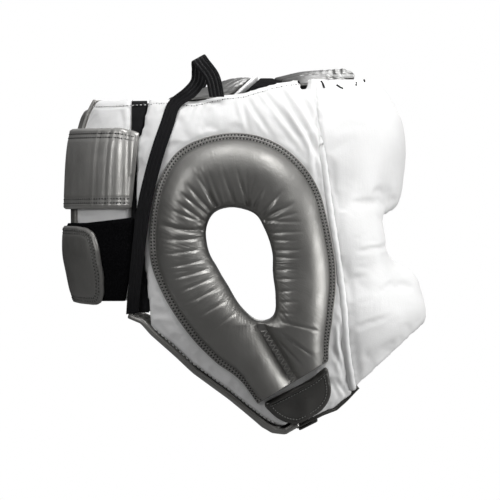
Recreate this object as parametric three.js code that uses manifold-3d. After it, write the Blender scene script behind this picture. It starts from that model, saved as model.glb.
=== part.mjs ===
import * as THREE from 'three';
import { mergeVertices } from 'three/addons/utils/BufferGeometryUtils.js';
import Module from 'manifold-3d';

// A full-face padded head guard in its own frame, in millimetres.
// +Z is up, the face looks along -Y and the wearer's right side is at -X.
// The origin is where the top of the head touches the inside of the crown.
// In the tables, forward is a share of shellLength and up a share of shellHeight, both from the origin.

// Whole shell
const shellLength = 273;
const shellHeight = 289;
const shellWidth = 216;
const squareness = 2.25;

// Padded walls
const foreheadPadding = 34;
const sidePadding = 21;
const backPadding = 10;
const rimPadding = 9;
const rimTaperHeight = 34;

// Thin leather, webbing and trim
const gap = 0.4;
const trimThickness = 1.8;
const trimWidth = 5;
const patchThickness = 2.6;
const bindingHeight = 5;
const bindingProud = 1;
const pipingWidth = 4.5;
const gussetThickness = 3;
const strapThickness = 3;
const loopBandThickness = 1.8;
const elasticWidth = 12;
const elasticThickness = 1.4;
const crownPadding = 6;
const crownClearance = 2.3;
const crownLiningThickness = 2;
const laceWidth = 2.6;
const chinStrapWidth = 16;
const chinStrapThickness = 2.4;

// Openings
const eyeOpeningWidth = 118;
const eyeOpeningHeight = 46;
const eyeOpeningMiddle = -121;
const eyeRoundness = 3.2;
const eyeEdgeRadius = 16;
const barEdgeRadius = 11;
const earHoleHeight = 100;
const earRingHeight = 214;
const earRingPuff = 13;
const earRingDepth = 20;
const backOpeningHalf = 36;
const laceHoleWidth = 7;
const laceHoleDepth = 8;
const laceHoleForward = 57;

// Bearings, in degrees, between which each part of the wall is made before its outline is cut
const frontSpan = [-76, 76];
const sideSpan = [24, 142];
const backSpan = [100, 260];

const colours = {
  white: { color: 0xf2f1ee, roughness: 0.5, metalness: 0 },
  silver: { color: 0x8d8b86, roughness: 0.38, metalness: 0.25 },
  darkSilver: { color: 0x55534f, roughness: 0.42, metalness: 0.25 },
  black: { color: 0x141417, roughness: 0.85, metalness: 0 },
};

const wasm = await Module();
wasm.setup();

// Smooth curve through rows of [place, value], with level ends.
function smoothRows(rows) {
  const sorted = [...rows].sort((a, b) => a[0] - b[0]);
  const slopeBetween = (a, b) => (b[1] - a[1]) / (b[0] - a[0]);
  const slopes = sorted.map((row, i) => {
    const before = sorted[Math.max(i - 1, 0)];
    const after = sorted[Math.min(i + 1, sorted.length - 1)];
    return slopeBetween(before, after);
  });
  return (place) => {
    const first = sorted[0];
    const last = sorted[sorted.length - 1];
    if (place <= first[0]) return first[1];
    if (place >= last[0]) return last[1];
    const i = sorted.findIndex((row) => row[0] > place) - 1;
    const span = sorted[i + 1][0] - sorted[i][0];
    const t = (place - sorted[i][0]) / span;
    const rise = sorted[i + 1][1] - sorted[i][1];
    const bendIn = slopes[i] * span - rise;
    const bendOut = rise - slopes[i + 1] * span;
    return sorted[i][1] + t * rise + t * (1 - t) * (bendIn * (1 - t) + bendOut * t);
  };
}

// Straight lines through rows of [place, value].
function straightRows(rows) {
  const sorted = [...rows].sort((a, b) => a[0] - b[0]);
  return (place) => {
    const inside = THREE.MathUtils.clamp(place, sorted[0][0], sorted[sorted.length - 1][0]);
    const i = Math.max(sorted.findIndex((row) => row[0] >= inside), 1);
    const t = (inside - sorted[i - 1][0]) / (sorted[i][0] - sorted[i - 1][0]);
    return THREE.MathUtils.lerp(sorted[i - 1][1], sorted[i][1], t);
  };
}

// Outside of the shell, level by level.
const shellLevels = [
  { up: 0.055, front: 0.33, back: 0.27, half: 0.19 },
  { up: 0.039, front: 0.372, back: 0.331, half: 0.25 },
  { up: 0.019, front: 0.407, back: 0.378, half: 0.3 },
  { up: 0.0, front: 0.425, back: 0.407, half: 0.345 },
  { up: -0.044, front: 0.46, back: 0.437, half: 0.41 },
  { up: -0.1, front: 0.489, back: 0.46, half: 0.455 },
  { up: -0.183, front: 0.501, back: 0.478, half: 0.486 },
  { up: -0.321, front: 0.49, back: 0.486, half: 0.5 },
  { up: -0.36, front: 0.508, back: 0.486, half: 0.5 },
  { up: -0.42, front: 0.53, back: 0.485, half: 0.5 },
  { up: -0.47, front: 0.53, back: 0.484, half: 0.5 },
  { up: -0.515, front: 0.53, back: 0.475, half: 0.495 },
  { up: -0.57, front: 0.545, back: 0.463, half: 0.491 },
  { up: -0.626, front: 0.56, back: 0.448, half: 0.486 },
  { up: -0.667, front: 0.557, back: 0.434, half: 0.477 },
  { up: -0.722, front: 0.542, back: 0.41, half: 0.458 },
  { up: -0.847, front: 0.484, back: 0.36, half: 0.405 },
  { up: -0.985, front: 0.401, back: 0.308, half: 0.33 },
];
const levelRows = (key, size) => shellLevels.map((level) => [level.up * shellHeight, level[key] * size]);
const frontAt = smoothRows(levelRows('front', shellLength));
const backAt = smoothRows(levelRows('back', shellLength));
const halfWidthAt = smoothRows(levelRows('half', shellWidth));

// A place named by how far it lies to the wearer's right, forward and up.
const place = (right, forward, up) => new THREE.Vector3(-right, -forward, up);

// Bearing runs from 0 at the face by 90 degrees at the wearer's right to 180 at the back.
function shellPoint(bearing, up) {
  const forward = Math.cos(bearing);
  const right = Math.sin(bearing);
  const reach = forward > 0 ? frontAt(up) : backAt(up);
  const sum = Math.abs(forward / reach) ** squareness + Math.abs(right / halfWidthAt(up)) ** squareness;
  const radius = sum ** (-1 / squareness);
  return place(radius * right, radius * forward, up);
}

// Layers stand square on the shell; padding goes level into it.
function onShell(bearing, up, outwards) {
  const step = 0.01;
  const around = shellPoint(bearing + step, up).sub(shellPoint(bearing - step, up));
  const upwards = shellPoint(bearing, up + 1).sub(shellPoint(bearing, up - 1));
  const normal = new THREE.Vector3().crossVectors(upwards, around);
  if (outwards < 0) normal.setZ(0);
  normal.normalize();
  return shellPoint(bearing, up).addScaledVector(normal, outwards);
}

// Bearing of the point of the right-hand side that shows at this place in a side view.
function bearingAt(forward, up) {
  const reach = forward > 0 ? frontAt(up) : backAt(up);
  const share = Math.min(Math.abs(forward) / reach, 0.999);
  const right = halfWidthAt(up) * (1 - share ** squareness) ** (1 / squareness);
  return Math.atan2(right, forward);
}
const onSide = (forward, up, outwards) => onShell(bearingAt(forward, up), up, outwards);

// Top rim of the shell and lower edge, in the side view.
const rimRows = [
  { forward: -0.5, up: -0.039 },
  { forward: -0.19, up: -0.039 },
  { forward: -0.126, up: -0.047 },
  { forward: -0.094, up: -0.041 },
  { forward: -0.029, up: -0.027 },
  { forward: 0.021, up: -0.023 },
  { forward: 0.091, up: -0.003 },
  { forward: 0.135, up: 0.008 },
  { forward: 0.176, up: 0.014 },
  { forward: 0.278, up: 0.019 },
  { forward: 0.6, up: 0.019 },
];
const lowerEdgeRows = [
  { forward: -0.314, up: -0.65 },
  { forward: -0.278, up: -0.664 },
  { forward: -0.249, up: -0.695 },
  { forward: -0.179, up: -0.753 },
  { forward: -0.126, up: -0.8 },
  { forward: -0.021, up: -0.872 },
  { forward: 0.032, up: -0.913 },
  { forward: 0.085, up: -0.952 },
  { forward: 0.12, up: -0.969 },
  { forward: 0.149, up: -0.972 },
  { forward: 0.19, up: -0.95 },
  { forward: 0.26, up: -0.917 },
  { forward: 0.3, up: -0.903 },
  { forward: 0.352, up: -0.86 },
  { forward: 0.539, up: -0.699 },
  { forward: 0.62, up: -0.628 },
];
const rearRimLevel = -0.045 * shellHeight;
const panelFootLevel = -0.662 * shellHeight;
const sideRows = (rows) => rows.map((row) => [row.forward * shellLength, row.up * shellHeight]);
const rimAt = straightRows(sideRows(rimRows));
const lowerEdgeAt = straightRows(sideRows(lowerEdgeRows));

// The rows of an edge between two places along it, raised by a lift, both ends included.
function edgeLine(rows, edgeAt, from, to, lift = 0) {
  const [low, high] = [Math.min(from, to), Math.max(from, to)];
  const between = sideRows(rows).map(([forward]) => forward).filter((value) => value > low && value < high);
  const line = [low, ...between, high].map((forward) => [forward, edgeAt(forward) + lift]);
  return from < to ? line : line.reverse();
}
const lowerEdgeLine = (from, to, lift) => edgeLine(lowerEdgeRows, lowerEdgeAt, from, to, lift);
const rimLine = (from, to) => edgeLine(rimRows, rimAt, from, to);

// Seam between the side panel and the front pad, and the rear edge of the side panel, from the top down.
const seamRows = [
  { up: 0.03, forward: 0.237 },
  { up: -0.055, forward: 0.24 },
  { up: -0.177, forward: 0.255 },
  { up: -0.285, forward: 0.27 },
  { up: -0.374, forward: 0.284 },
  { up: -0.465, forward: 0.299 },
  { up: -0.609, forward: 0.319 },
  { up: -0.725, forward: 0.328 },
  { up: -0.817, forward: 0.343 },
  { up: -0.87, forward: 0.356 },
];
const panelRearRows = [
  { up: 0.0, forward: -0.243 },
  { up: -0.039, forward: -0.249 },
  { up: -0.127, forward: -0.267 },
  { up: -0.321, forward: -0.27 },
  { up: -0.493, forward: -0.262 },
  { up: -0.662, forward: -0.243 },
  { up: -0.75, forward: -0.235 },
];
const levelEdge = (rows) => smoothRows(rows.map((row) => [row.up * shellHeight, row.forward * shellLength]));
const seamAt = levelEdge(seamRows);
const panelRearAt = levelEdge(panelRearRows);
const seamFoot = seamRows[seamRows.length - 1].up * shellHeight;
const backPanelFront = -0.31 * shellLength;

// Thickness of the padded wall: thick at the forehead, thinner at the sides and back, and at the top rim.
function wallAt(bearing, up) {
  const turn = Math.cos(bearing);
  const far = turn > 0 ? foreheadPadding : backPadding;
  const full = THREE.MathUtils.lerp(sidePadding, far, turn * turn);
  const forward = -shellPoint(bearing, up).y;
  const belowRim = THREE.MathUtils.smoothstep(rimAt(forward) - up, 0, rimTaperHeight);
  return THREE.MathUtils.lerp(Math.min(rimPadding, full), full, belowRim);
}

// Closed block between an outer face (depth 0) and an inner face (depth 1), each a grid of points.
function slab(columns, rows, point, wraps = false) {
  const across = wraps ? columns : columns + 1;
  const positions = [];
  for (let depth = 0; depth < 2; depth += 1) {
    for (let i = 0; i < across; i += 1) {
      for (let j = 0; j <= rows; j += 1) {
        positions.push(...point(i / columns, j / rows, depth).toArray());
      }
    }
  }
  const at = (depth, i, j) => (depth * across + (i % across)) * (rows + 1) + j;
  const faces = [];
  const quad = (a, b, c, d) => faces.push(a, b, c, a, c, d);
  for (let i = 0; i < columns; i += 1) {
    for (let j = 0; j < rows; j += 1) {
      quad(at(0, i, j), at(0, i + 1, j), at(0, i + 1, j + 1), at(0, i, j + 1));
      quad(at(1, i, j), at(1, i, j + 1), at(1, i + 1, j + 1), at(1, i + 1, j));
    }
    quad(at(0, i, 0), at(1, i, 0), at(1, i + 1, 0), at(0, i + 1, 0));
    quad(at(0, i, rows), at(0, i + 1, rows), at(1, i + 1, rows), at(1, i, rows));
  }
  for (let j = 0; j < rows && !wraps; j += 1) {
    quad(at(0, 0, j), at(0, 0, j + 1), at(1, 0, j + 1), at(1, 0, j));
    quad(at(0, columns, j), at(1, columns, j), at(1, columns, j + 1), at(0, columns, j + 1));
  }
  return facingOut(positions, faces);
}

// Turns a closed mesh's faces outwards.
function facingOut(positions, faces) {
  const geometry = new THREE.BufferGeometry();
  geometry.setAttribute('position', new THREE.Float32BufferAttribute(positions, 3));
  const corner = (i) => new THREE.Vector3().fromArray(positions, 3 * faces[i]);
  let volume = 0;
  for (let i = 0; i < faces.length; i += 3) {
    volume += corner(i).dot(corner(i + 1).cross(corner(i + 2)));
  }
  geometry.setIndex(volume < 0 ? [...faces].reverse() : faces);
  return geometry;
}

function toSolid(geometry) {
  const plain = geometry.clone();
  plain.deleteAttribute('normal');
  plain.deleteAttribute('uv');
  const merged = mergeVertices(plain, 1e-4);
  const vertProperties = merged.attributes.position.array;
  return new wasm.Manifold(new wasm.Mesh({ numProp: 3, vertProperties, triVerts: merged.index.array }));
}

function toGeometry(solid) {
  const cut = solid.getMesh();
  const geometry = new THREE.BufferGeometry();
  geometry.setAttribute('position', new THREE.BufferAttribute(cut.vertProperties, 3));
  geometry.setIndex(new THREE.BufferAttribute(cut.triVerts, 1));
  return geometry;
}

// Prism whose side-view outline is a list of [forward, up], between two distances to the right.
function sidePrism(outline, fromRight, toRight) {
  const shape = new THREE.Shape(outline.map(([forward, up]) => new THREE.Vector2(forward, up)));
  const geometry = new THREE.ExtrudeGeometry(shape, { depth: toRight - fromRight, bevelEnabled: false });
  geometry.translate(0, 0, fromRight);
  const axes = new THREE.Matrix4().makeBasis(place(0, 1, 0), place(0, 0, 1), place(1, 0, 0));
  return toSolid(geometry.applyMatrix4(axes));
}

// Prism whose front-view outline is a list of [right, up], in front of a distance forward.
function frontPrism(outline, fromForward, toForward) {
  const shape = new THREE.Shape(outline.map(([right, up]) => new THREE.Vector2(-right, up)));
  const geometry = new THREE.ExtrudeGeometry(shape, { depth: toForward - fromForward, bevelEnabled: false });
  geometry.rotateX(Math.PI / 2);
  geometry.translate(0, -fromForward, 0);
  return toSolid(geometry);
}

// Part of the wall between two bearings and two levels; outer and inner give its offsets from the shell.
function wall({ from, to, bottom, top, columns, rows, outer, inner }) {
  return toSolid(slab(columns, rows, (s, t, depth) => {
    const bearing = THREE.MathUtils.lerp(from, to, s);
    const up = THREE.MathUtils.lerp(bottom, top, t);
    return onShell(bearing, up, (depth === 0 ? outer : inner)(bearing, up));
  }));
}

const degrees = THREE.MathUtils.degToRad;
const farOut = shellWidth;
const shellBottom = -0.985 * shellHeight;
const shellTop = 0.055 * shellHeight;

// Evenly spaced values, both ends included.
const steps = (from, to, count) => (
  Array.from({ length: count + 1 }, (_, i) => from + ((to - from) * i) / count)
);

// Front pad: forehead, temples, cheeks and face bar, with the eye opening and open below the bar.
const frontFoldRows = [
  { forward: 0.36, up: -0.46, length: 0.09, width: 0.019, depth: 1.6, slope: 0.35 },
  { forward: 0.41, up: -0.545, length: 0.06, width: 0.019, depth: 1.4, slope: 0.5 },
  { forward: 0.37, up: -0.63, length: 0.07, width: 0.019, depth: 1.4, slope: -0.4 },
  { forward: 0.35, up: -0.7, length: 0.03, width: 0.016, depth: 1.5, slope: -1.6 },
];
function foldDepth(rows, forward, up) {
  return rows.reduce((sum, fold) => {
    const along = forward - fold.forward * shellLength;
    const across = up - fold.up * shellHeight - fold.slope * along;
    const lengthShare = along / (fold.length * shellLength);
    const widthShare = across / (fold.width * shellHeight);
    return sum + fold.depth * Math.exp(-(lengthShare ** 2) - widthShare ** 2);
  }, 0);
}

function eyeOutline() {
  const count = 28;
  return Array.from({ length: count }, (_, i) => {
    const turn = (2 * Math.PI * i) / count;
    const power = (value) => Math.sign(value) * Math.abs(value) ** (2 / eyeRoundness);
    const right = (eyeOpeningWidth / 2) * power(Math.cos(turn));
    const up = eyeOpeningMiddle + (eyeOpeningHeight / 2) * power(Math.sin(turn));
    return [right, up];
  });
}

// Level of the lower edge where the shell crosses it at a bearing.
function lowerLevelAt(bearing) {
  let [low, high] = [shellBottom, eyeOpeningMiddle];
  for (let i = 0; i < 24; i += 1) {
    const middle = (low + high) / 2;
    const isBelow = middle < lowerEdgeAt(-shellPoint(bearing, middle).y);
    [low, high] = isBelow ? [middle, high] : [low, middle];
  }
  return high;
}

// How far the padding's outside turns in near an edge, by the distance from that edge.
function roundedIn(distance, radius) {
  const near = THREE.MathUtils.clamp(1 - distance / radius, 0, 0.96);
  return 0.75 * radius * (1 - Math.sqrt(1 - near * near));
}

// Distance outside the eye opening's edge, in the front view.
function eyeDistance(point) {
  const [right, up] = [point.x, point.z - eyeOpeningMiddle];
  const share = (Math.abs((2 * right) / eyeOpeningWidth) ** eyeRoundness
    + Math.abs((2 * up) / eyeOpeningHeight) ** eyeRoundness) ** (1 / eyeRoundness);
  return Math.hypot(right, up) * (1 - 1 / Math.max(share, 1));
}

// The seam's line from the rim down to the lower edge, moved forward by half a gap or back by one.
function seamLine(shift) {
  const levels = steps(shellTop, seamFoot, 14);
  const line = levels.map((up) => [seamAt(up) + shift, Math.min(up, rimAt(seamAt(up)))]);
  const foot = line[line.length - 1];
  foot[1] = lowerEdgeAt(foot[0]);
  return line.filter(([, up], i) => i === 0 || up < line[i - 1][1]);
}

function frontPad() {
  const shell = toSolid(slab(28, 18, (s, t, depth) => {
    const bearing = degrees(THREE.MathUtils.lerp(...frontSpan, s));
    const foot = lowerLevelAt(bearing);
    const up = THREE.MathUtils.lerp(foot, shellTop, t);
    const point = shellPoint(bearing, up);
    const turnedIn = roundedIn(eyeDistance(point), eyeEdgeRadius) + roundedIn(up - foot, barEdgeRadius);
    const outer = -foldDepth(frontFoldRows, -point.y, up) - turnedIn;
    return onShell(bearing, up, depth === 0 ? outer : -wallAt(bearing, up));
  }));
  const outline = seamLine(gap / 2);
  outline.push([outline[outline.length - 1][0], shellBottom]);
  const beyond = 0.7 * shellLength;
  outline.push([beyond, shellBottom]);
  outline.push(...rimLine(beyond, outline[0][0]).slice(0, -1));
  const body = shell.intersect(sidePrism(outline, -farOut, farOut));
  return toGeometry(body.subtract(frontPrism(eyeOutline(), 0, shellLength)));
}

// Ear ring, by bearing in the side view: 0 is up and 90 forward.
const ringMiddle = { forward: 6.4, up: -144 };
const ringRows = [
  { bearing: 0, hole: 0.459, outside: 0.489 },
  { bearing: 15, hole: 0.424, outside: 0.47 },
  { bearing: 30, hole: 0.352, outside: 0.436 },
  { bearing: 45, hole: 0.305, outside: 0.398 },
  { bearing: 60, hole: 0.277, outside: 0.361 },
  { bearing: 75, hole: 0.262, outside: 0.344 },
  { bearing: 90, hole: 0.254, outside: 0.346 },
  { bearing: 105, hole: 0.263, outside: 0.36 },
  { bearing: 120, hole: 0.302, outside: 0.388 },
  { bearing: 135, hole: 0.385, outside: 0.453 },
  { bearing: 150, hole: 0.5, outside: 0.598 },
  { bearing: 165, hole: 0.485, outside: 0.64 },
  { bearing: 180, hole: 0.379, outside: 0.447 },
  { bearing: 195, hole: 0.29, outside: 0.383 },
  { bearing: 210, hole: 0.238, outside: 0.345 },
  { bearing: 225, hole: 0.216, outside: 0.323 },
  { bearing: 240, hole: 0.211, outside: 0.317 },
  { bearing: 255, hole: 0.217, outside: 0.324 },
  { bearing: 270, hole: 0.24, outside: 0.343 },
  { bearing: 285, hole: 0.291, outside: 0.364 },
  { bearing: 300, hole: 0.355, outside: 0.395 },
  { bearing: 315, hole: 0.435, outside: 0.443 },
  { bearing: 330, hole: 0.49, outside: 0.486 },
  { bearing: 345, hole: 0.487, outside: 0.494 },
];
function aroundRows(key, size) {
  const turn = 360;
  const rows = ringRows.map((row) => [row.bearing, row[key] * size]);
  const last = rows.slice(-2).map(([bearing, value]) => [bearing - turn, value]);
  const next = rows.slice(0, 3).map(([bearing, value]) => [bearing + turn, value]);
  const curve = smoothRows([...last, ...rows, ...next]);
  return (bearing) => curve(((bearing % turn) + turn) % turn);
}
const holeRadiusAt = aroundRows('hole', earHoleHeight);
const freeRadiusAt = aroundRows('outside', earRingHeight);

// Jaw patch, from its rear top corner round; its top edge cuts off the foot of the ring.
const patchRows = [
  { forward: 0.079, up: -0.883 },
  { forward: 0.132, up: -0.858 },
  { forward: 0.185, up: -0.833 },
  { forward: 0.225, up: -0.812 },
  { forward: 0.268, up: -0.776 },
  { forward: 0.281, up: -0.844 },
  { forward: 0.275, up: -0.872 },
  { forward: 0.258, up: -0.897 },
  { forward: 0.236, up: -0.913 },
  { forward: 0.185, up: -0.941 },
  { forward: 0.149, up: -0.936 },
  { forward: 0.118, up: -0.921 },
];
const patchOutline = sideRows(patchRows);
const patchTopEnd = 4;

// Distance along a bearing from the ring's middle to the patch's top edge.
function patchReach(bearing) {
  const [rear, front] = [patchOutline[0], patchOutline[patchTopEnd]];
  const along = [front[0] - rear[0], front[1] - rear[1]];
  const ray = [Math.sin(degrees(bearing)), Math.cos(degrees(bearing))];
  const turn = ray[0] * along[1] - ray[1] * along[0];
  const start = [rear[0] - ringMiddle.forward, rear[1] - ringMiddle.up];
  const reach = (start[0] * along[1] - start[1] * along[0]) / turn;
  return reach > 0 ? reach : Infinity;
}
const trimOutsideAt = (bearing) => Math.min(freeRadiusAt(bearing), patchReach(bearing) - 3 * gap);
const trimInsideAt = (bearing) => trimOutsideAt(bearing) - trimWidth;
const ringOutsideAt = (bearing) => trimInsideAt(bearing) - gap;
const ringColumns = 48;

function ringPlace(bearing, radius, outwards) {
  const forward = ringMiddle.forward + radius * Math.sin(degrees(bearing));
  const up = ringMiddle.up + radius * Math.cos(degrees(bearing));
  return onSide(forward, up, 0).sub(place(-outwards, 0, 0));
}

// Gathers of the ring's leather: each runs in from the trim towards the hole.
const gatherRows = [
  { bearing: 8, width: 5, depth: 1.6 },
  { bearing: 24, width: 4, depth: 1.2 },
  { bearing: 52, width: 5, depth: 1.0 },
  { bearing: 84, width: 4, depth: 0.9 },
  { bearing: 112, width: 4, depth: 1.1 },
  { bearing: 150, width: 3, depth: 2.4 },
  { bearing: 196, width: 4, depth: 1.4 },
  { bearing: 214, width: 4, depth: 1.2 },
  { bearing: 232, width: 4, depth: 1.4 },
  { bearing: 252, width: 4, depth: 1.2 },
  { bearing: 272, width: 4, depth: 1.3 },
  { bearing: 297, width: 4, depth: 2.2 },
  { bearing: 318, width: 4, depth: 1.6 },
  { bearing: 340, width: 4, depth: 1.5 },
];
function gatherDepth(bearing, inwards) {
  const sum = gatherRows.reduce((total, fold) => {
    const away = Math.abs(((bearing - fold.bearing + 540) % 360) - 180);
    return total + fold.depth * Math.exp(-((away / fold.width) ** 2));
  }, 0);
  return sum * Math.sin(Math.PI * inwards) * (0.4 + 0.8 * inwards);
}

function earRing() {
  return slab(ringColumns, 6, (s, t, depth) => {
    const bearing = 360 * s;
    const radius = THREE.MathUtils.lerp(ringOutsideAt(bearing), holeRadiusAt(bearing), t);
    const deep = ringPlace(bearing, radius, -earRingDepth);
    const rise = trimThickness + earRingPuff * Math.sin(Math.PI * t ** 0.85) ** 0.75;
    return depth === 1 ? deep : ringPlace(bearing, radius, rise - gatherDepth(bearing, t));
  }, true);
}

function earRingTrim() {
  return slab(ringColumns, 1, (s, t, depth) => {
    const bearing = 360 * s;
    const radius = THREE.MathUtils.lerp(trimOutsideAt(bearing), trimInsideAt(bearing), t);
    return ringPlace(bearing, radius, depth === 0 ? gap + trimThickness : gap);
  }, true);
}

function ringHoleOutline() {
  return steps(0, 360, ringColumns).slice(1).map((bearing) => {
    const radius = trimInsideAt(bearing) + gap;
    const forward = ringMiddle.forward + radius * Math.sin(degrees(bearing));
    return [forward, ringMiddle.up + radius * Math.cos(degrees(bearing))];
  });
}

// Side panel: white leather between the front seam and the rear edge, round the ear ring.
const panelFoldRows = [
  { forward: 0.1, up: -0.07, length: 0.035, width: 0.019, depth: 1.4, slope: -1.5 },
  { forward: 0.14, up: -0.06, length: 0.03, width: 0.019, depth: 1.4, slope: -1.7 },
  { forward: 0.18, up: -0.1, length: 0.04, width: 0.019, depth: 1.6, slope: -1.9 },
  { forward: 0.2, up: -0.22, length: 0.03, width: 0.019, depth: 1.2, slope: -2.2 },
];
const sideWall = (outer, inner, bottom = shellBottom, top = shellTop, rows = 15) => wall({
  from: degrees(sideSpan[0]), to: degrees(sideSpan[1]), bottom, top, columns: 15, rows, outer, inner,
});

// Notch in the rim that the front flap's lace passes through.
function laceHole() {
  const top = rimAt(laceHoleForward);
  const radius = laceHoleWidth / 2;
  const foot = steps(0, Math.PI, 8).map((turn) => (
    [laceHoleForward + radius * Math.cos(turn), top - laceHoleDepth + radius * (1 - Math.sin(turn))]
  ));
  return [...foot, [laceHoleForward - radius, top + radius], [laceHoleForward + radius, top + radius]];
}

function sidePanel() {
  const shell = sideWall(
    (bearing, up) => -foldDepth(panelFoldRows, -shellPoint(bearing, up).y, up),
    (bearing, up) => -wallAt(bearing, up),
  );
  const seam = seamLine(-gap / 2);
  const rearTop = rimAt(panelRearAt(0));
  const outline = [...rimLine(panelRearAt(rearTop), seam[0][0]).slice(0, -1), ...seam];
  const lift = bindingHeight + gap;
  const rearFoot = panelRearAt(panelFootLevel);
  const bare = bindingFront + gap;
  outline.push(...lowerEdgeLine(seam[seam.length - 1][0], bare).slice(1));
  outline.push(...lowerEdgeLine(bare, rearFoot, lift));
  const rear = steps(lowerEdgeAt(rearFoot) + lift, rearTop, 8).slice(1, -1);
  outline.push(...rear.map((up) => [panelRearAt(up), up]));
  const holes = sidePrism(ringHoleOutline(), 0, farOut).add(sidePrism(laceHole(), 0, farOut));
  return toGeometry(shell.intersect(sidePrism(outline, 0, farOut)).subtract(holes));
}

// Binding folded over the lower edge of the side panel and gusset.
const bindingRear = -0.314 * shellLength;
const bindingFront = 0.19 * shellLength;
function edgeBinding() {
  const inner = (bearing, up) => -wallAt(bearing, up) - bindingProud;
  const shell = sideWall(() => bindingProud, inner, shellBottom, -0.6 * shellHeight, 6);
  const foot = lowerEdgeLine(bindingRear, bindingFront);
  const top = lowerEdgeLine(bindingFront, bindingRear, bindingHeight);
  return toGeometry(shell.intersect(sidePrism([...foot, ...top], 0, farOut)));
}

function jawPatch() {
  const under = gap + bindingProud;
  const shell = sideWall(() => under + patchThickness, () => under, shellBottom, -0.75 * shellHeight, 6);
  return toGeometry(shell.intersect(sidePrism(patchOutline, 0, farOut)));
}

// Stretch gusset between the back panel and the side panel.
function gusset() {
  const rise = -gap * 2;
  const shell = sideWall(() => rise, () => rise - gussetThickness);
  const foot = lowerEdgeAt(backPanelFront) + bindingHeight + gap;
  const levels = steps(rearRimLevel, foot, 10);
  const outline = levels.map((up) => [panelRearAt(up) - 2 * gap, up]);
  outline.push([backPanelFront + gap, foot]);
  outline.push([backPanelFront + gap, rearRimLevel]);
  return toGeometry(shell.intersect(sidePrism(outline, 0, farOut)));
}

// Back of the guard: wall pieces between bearings round the back.
const backTop = -0.042 * shellHeight;
const backFoot = -0.6 * shellHeight;
const centrePanelDrop = 7;
const overrun = 6;
const backWall = (outer, inner, bottom = backFoot - overrun, top = backTop + overrun, rows = 10) => wall({
  from: degrees(backSpan[0]), to: degrees(backSpan[1]), bottom, top, columns: 18, rows, outer, inner,
});
const box = (front, foot, top) => [[-shellLength, foot], [front, foot], [front, top], [-shellLength, top]];

function backPanel() {
  const shell = backWall(() => 0, (bearing, up) => -wallAt(bearing, up));
  const outline = sidePrism(box(backPanelFront, backFoot, backTop), backOpeningHalf, farOut);
  return toGeometry(shell.intersect(outline));
}

function backPiping() {
  const inner = (bearing, up) => -wallAt(bearing, up) - bindingProud;
  const shell = backWall(() => bindingProud, inner);
  const inside = backOpeningHalf - gap - pipingWidth;
  const strip = sidePrism(box(0, backFoot, backTop), inside, backOpeningHalf - gap);
  return toGeometry(shell.intersect(strip));
}

function backCentrePanel() {
  const shell = backWall(() => -bindingProud, () => -bindingProud - backPadding / 2);
  const half = backOpeningHalf - 2 * gap - pipingWidth;
  return toGeometry(shell.intersect(sidePrism(box(0, backFoot, backTop - centrePanelDrop), -half, half)));
}

// Straps that close the back: the upper one, the loop band and the lower one with its rounded tab.
const upperStrapRows = [
  { forward: -0.6, up: -0.125 },
  { forward: -0.33, up: -0.125 },
  { forward: -0.3, up: -0.13 },
  { forward: -0.278, up: -0.136 },
  { forward: -0.3, up: -0.345 },
  { forward: -0.6, up: -0.345 },
];
const loopBandRows = [
  { forward: -0.6, up: -0.39 },
  { forward: -0.43, up: -0.384 },
  { forward: -0.32, up: -0.372 },
  { forward: -0.292, up: -0.368 },
  { forward: -0.3, up: -0.5 },
  { forward: -0.318, up: -0.6 },
  { forward: -0.6, up: -0.6 },
];
const lowerStrapRows = [
  { forward: -0.6, up: -0.388 },
  { forward: -0.451, up: -0.393 },
  { forward: -0.42, up: -0.398 },
  { forward: -0.4, up: -0.413 },
  { forward: -0.388, up: -0.448 },
  { forward: -0.381, up: -0.49 },
  { forward: -0.373, up: -0.531 },
  { forward: -0.372, up: -0.579 },
  { forward: -0.38, up: -0.602 },
  { forward: -0.393, up: -0.609 },
  { forward: -0.44, up: -0.604 },
  { forward: -0.466, up: -0.597 },
  { forward: -0.6, up: -0.597 },
];
const bandLayer = bindingProud + 1.5 * gap;
const strapLayer = bandLayer + loopBandThickness + 2 * gap;

// Block round the back that is as high as an outline, in a layer over the shell.
function strapBlock(rows, layer, thickness) {
  const levels = sideRows(rows).map(([, up]) => up);
  const foot = Math.min(...levels) - gap;
  const top = Math.max(...levels) + gap;
  return backWall(() => layer + thickness, () => layer, foot, top, 4);
}

function bandRound(rows, layer, thickness) {
  const outline = sidePrism(sideRows(rows), -farOut, farOut);
  return toGeometry(strapBlock(rows, layer, thickness).intersect(outline));
}

function lowerStrap() {
  const rear = lowerStrapRows.filter((row) => row.forward === -0.6).map((row) => row.up * shellHeight);
  const tab = sidePrism(sideRows(lowerStrapRows), 0, farOut);
  const root = sidePrism(box(-0.33 * shellLength, Math.min(...rear), Math.max(...rear)), -farOut, 1);
  return toGeometry(strapBlock(lowerStrapRows, strapLayer, strapThickness).intersect(tab.add(root)));
}

// Ribbon through rows of centre points, each with the direction of its width and of its face.
function ribbon(rows, width, thickness, columns) {
  const curveOf = (key) => new THREE.CatmullRomCurve3(rows.map((row) => row[key]));
  const [centre, across, face] = ['centre', 'across', 'face'].map(curveOf);
  return slab(columns, 1, (s, t, depth) => {
    const point = centre.getPoint(s);
    const aside = across.getPoint(s).normalize().multiplyScalar(width * (t - 0.5));
    return point.add(aside).addScaledVector(face.getPoint(s).normalize(), thickness * (0.5 - depth));
  });
}

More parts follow.
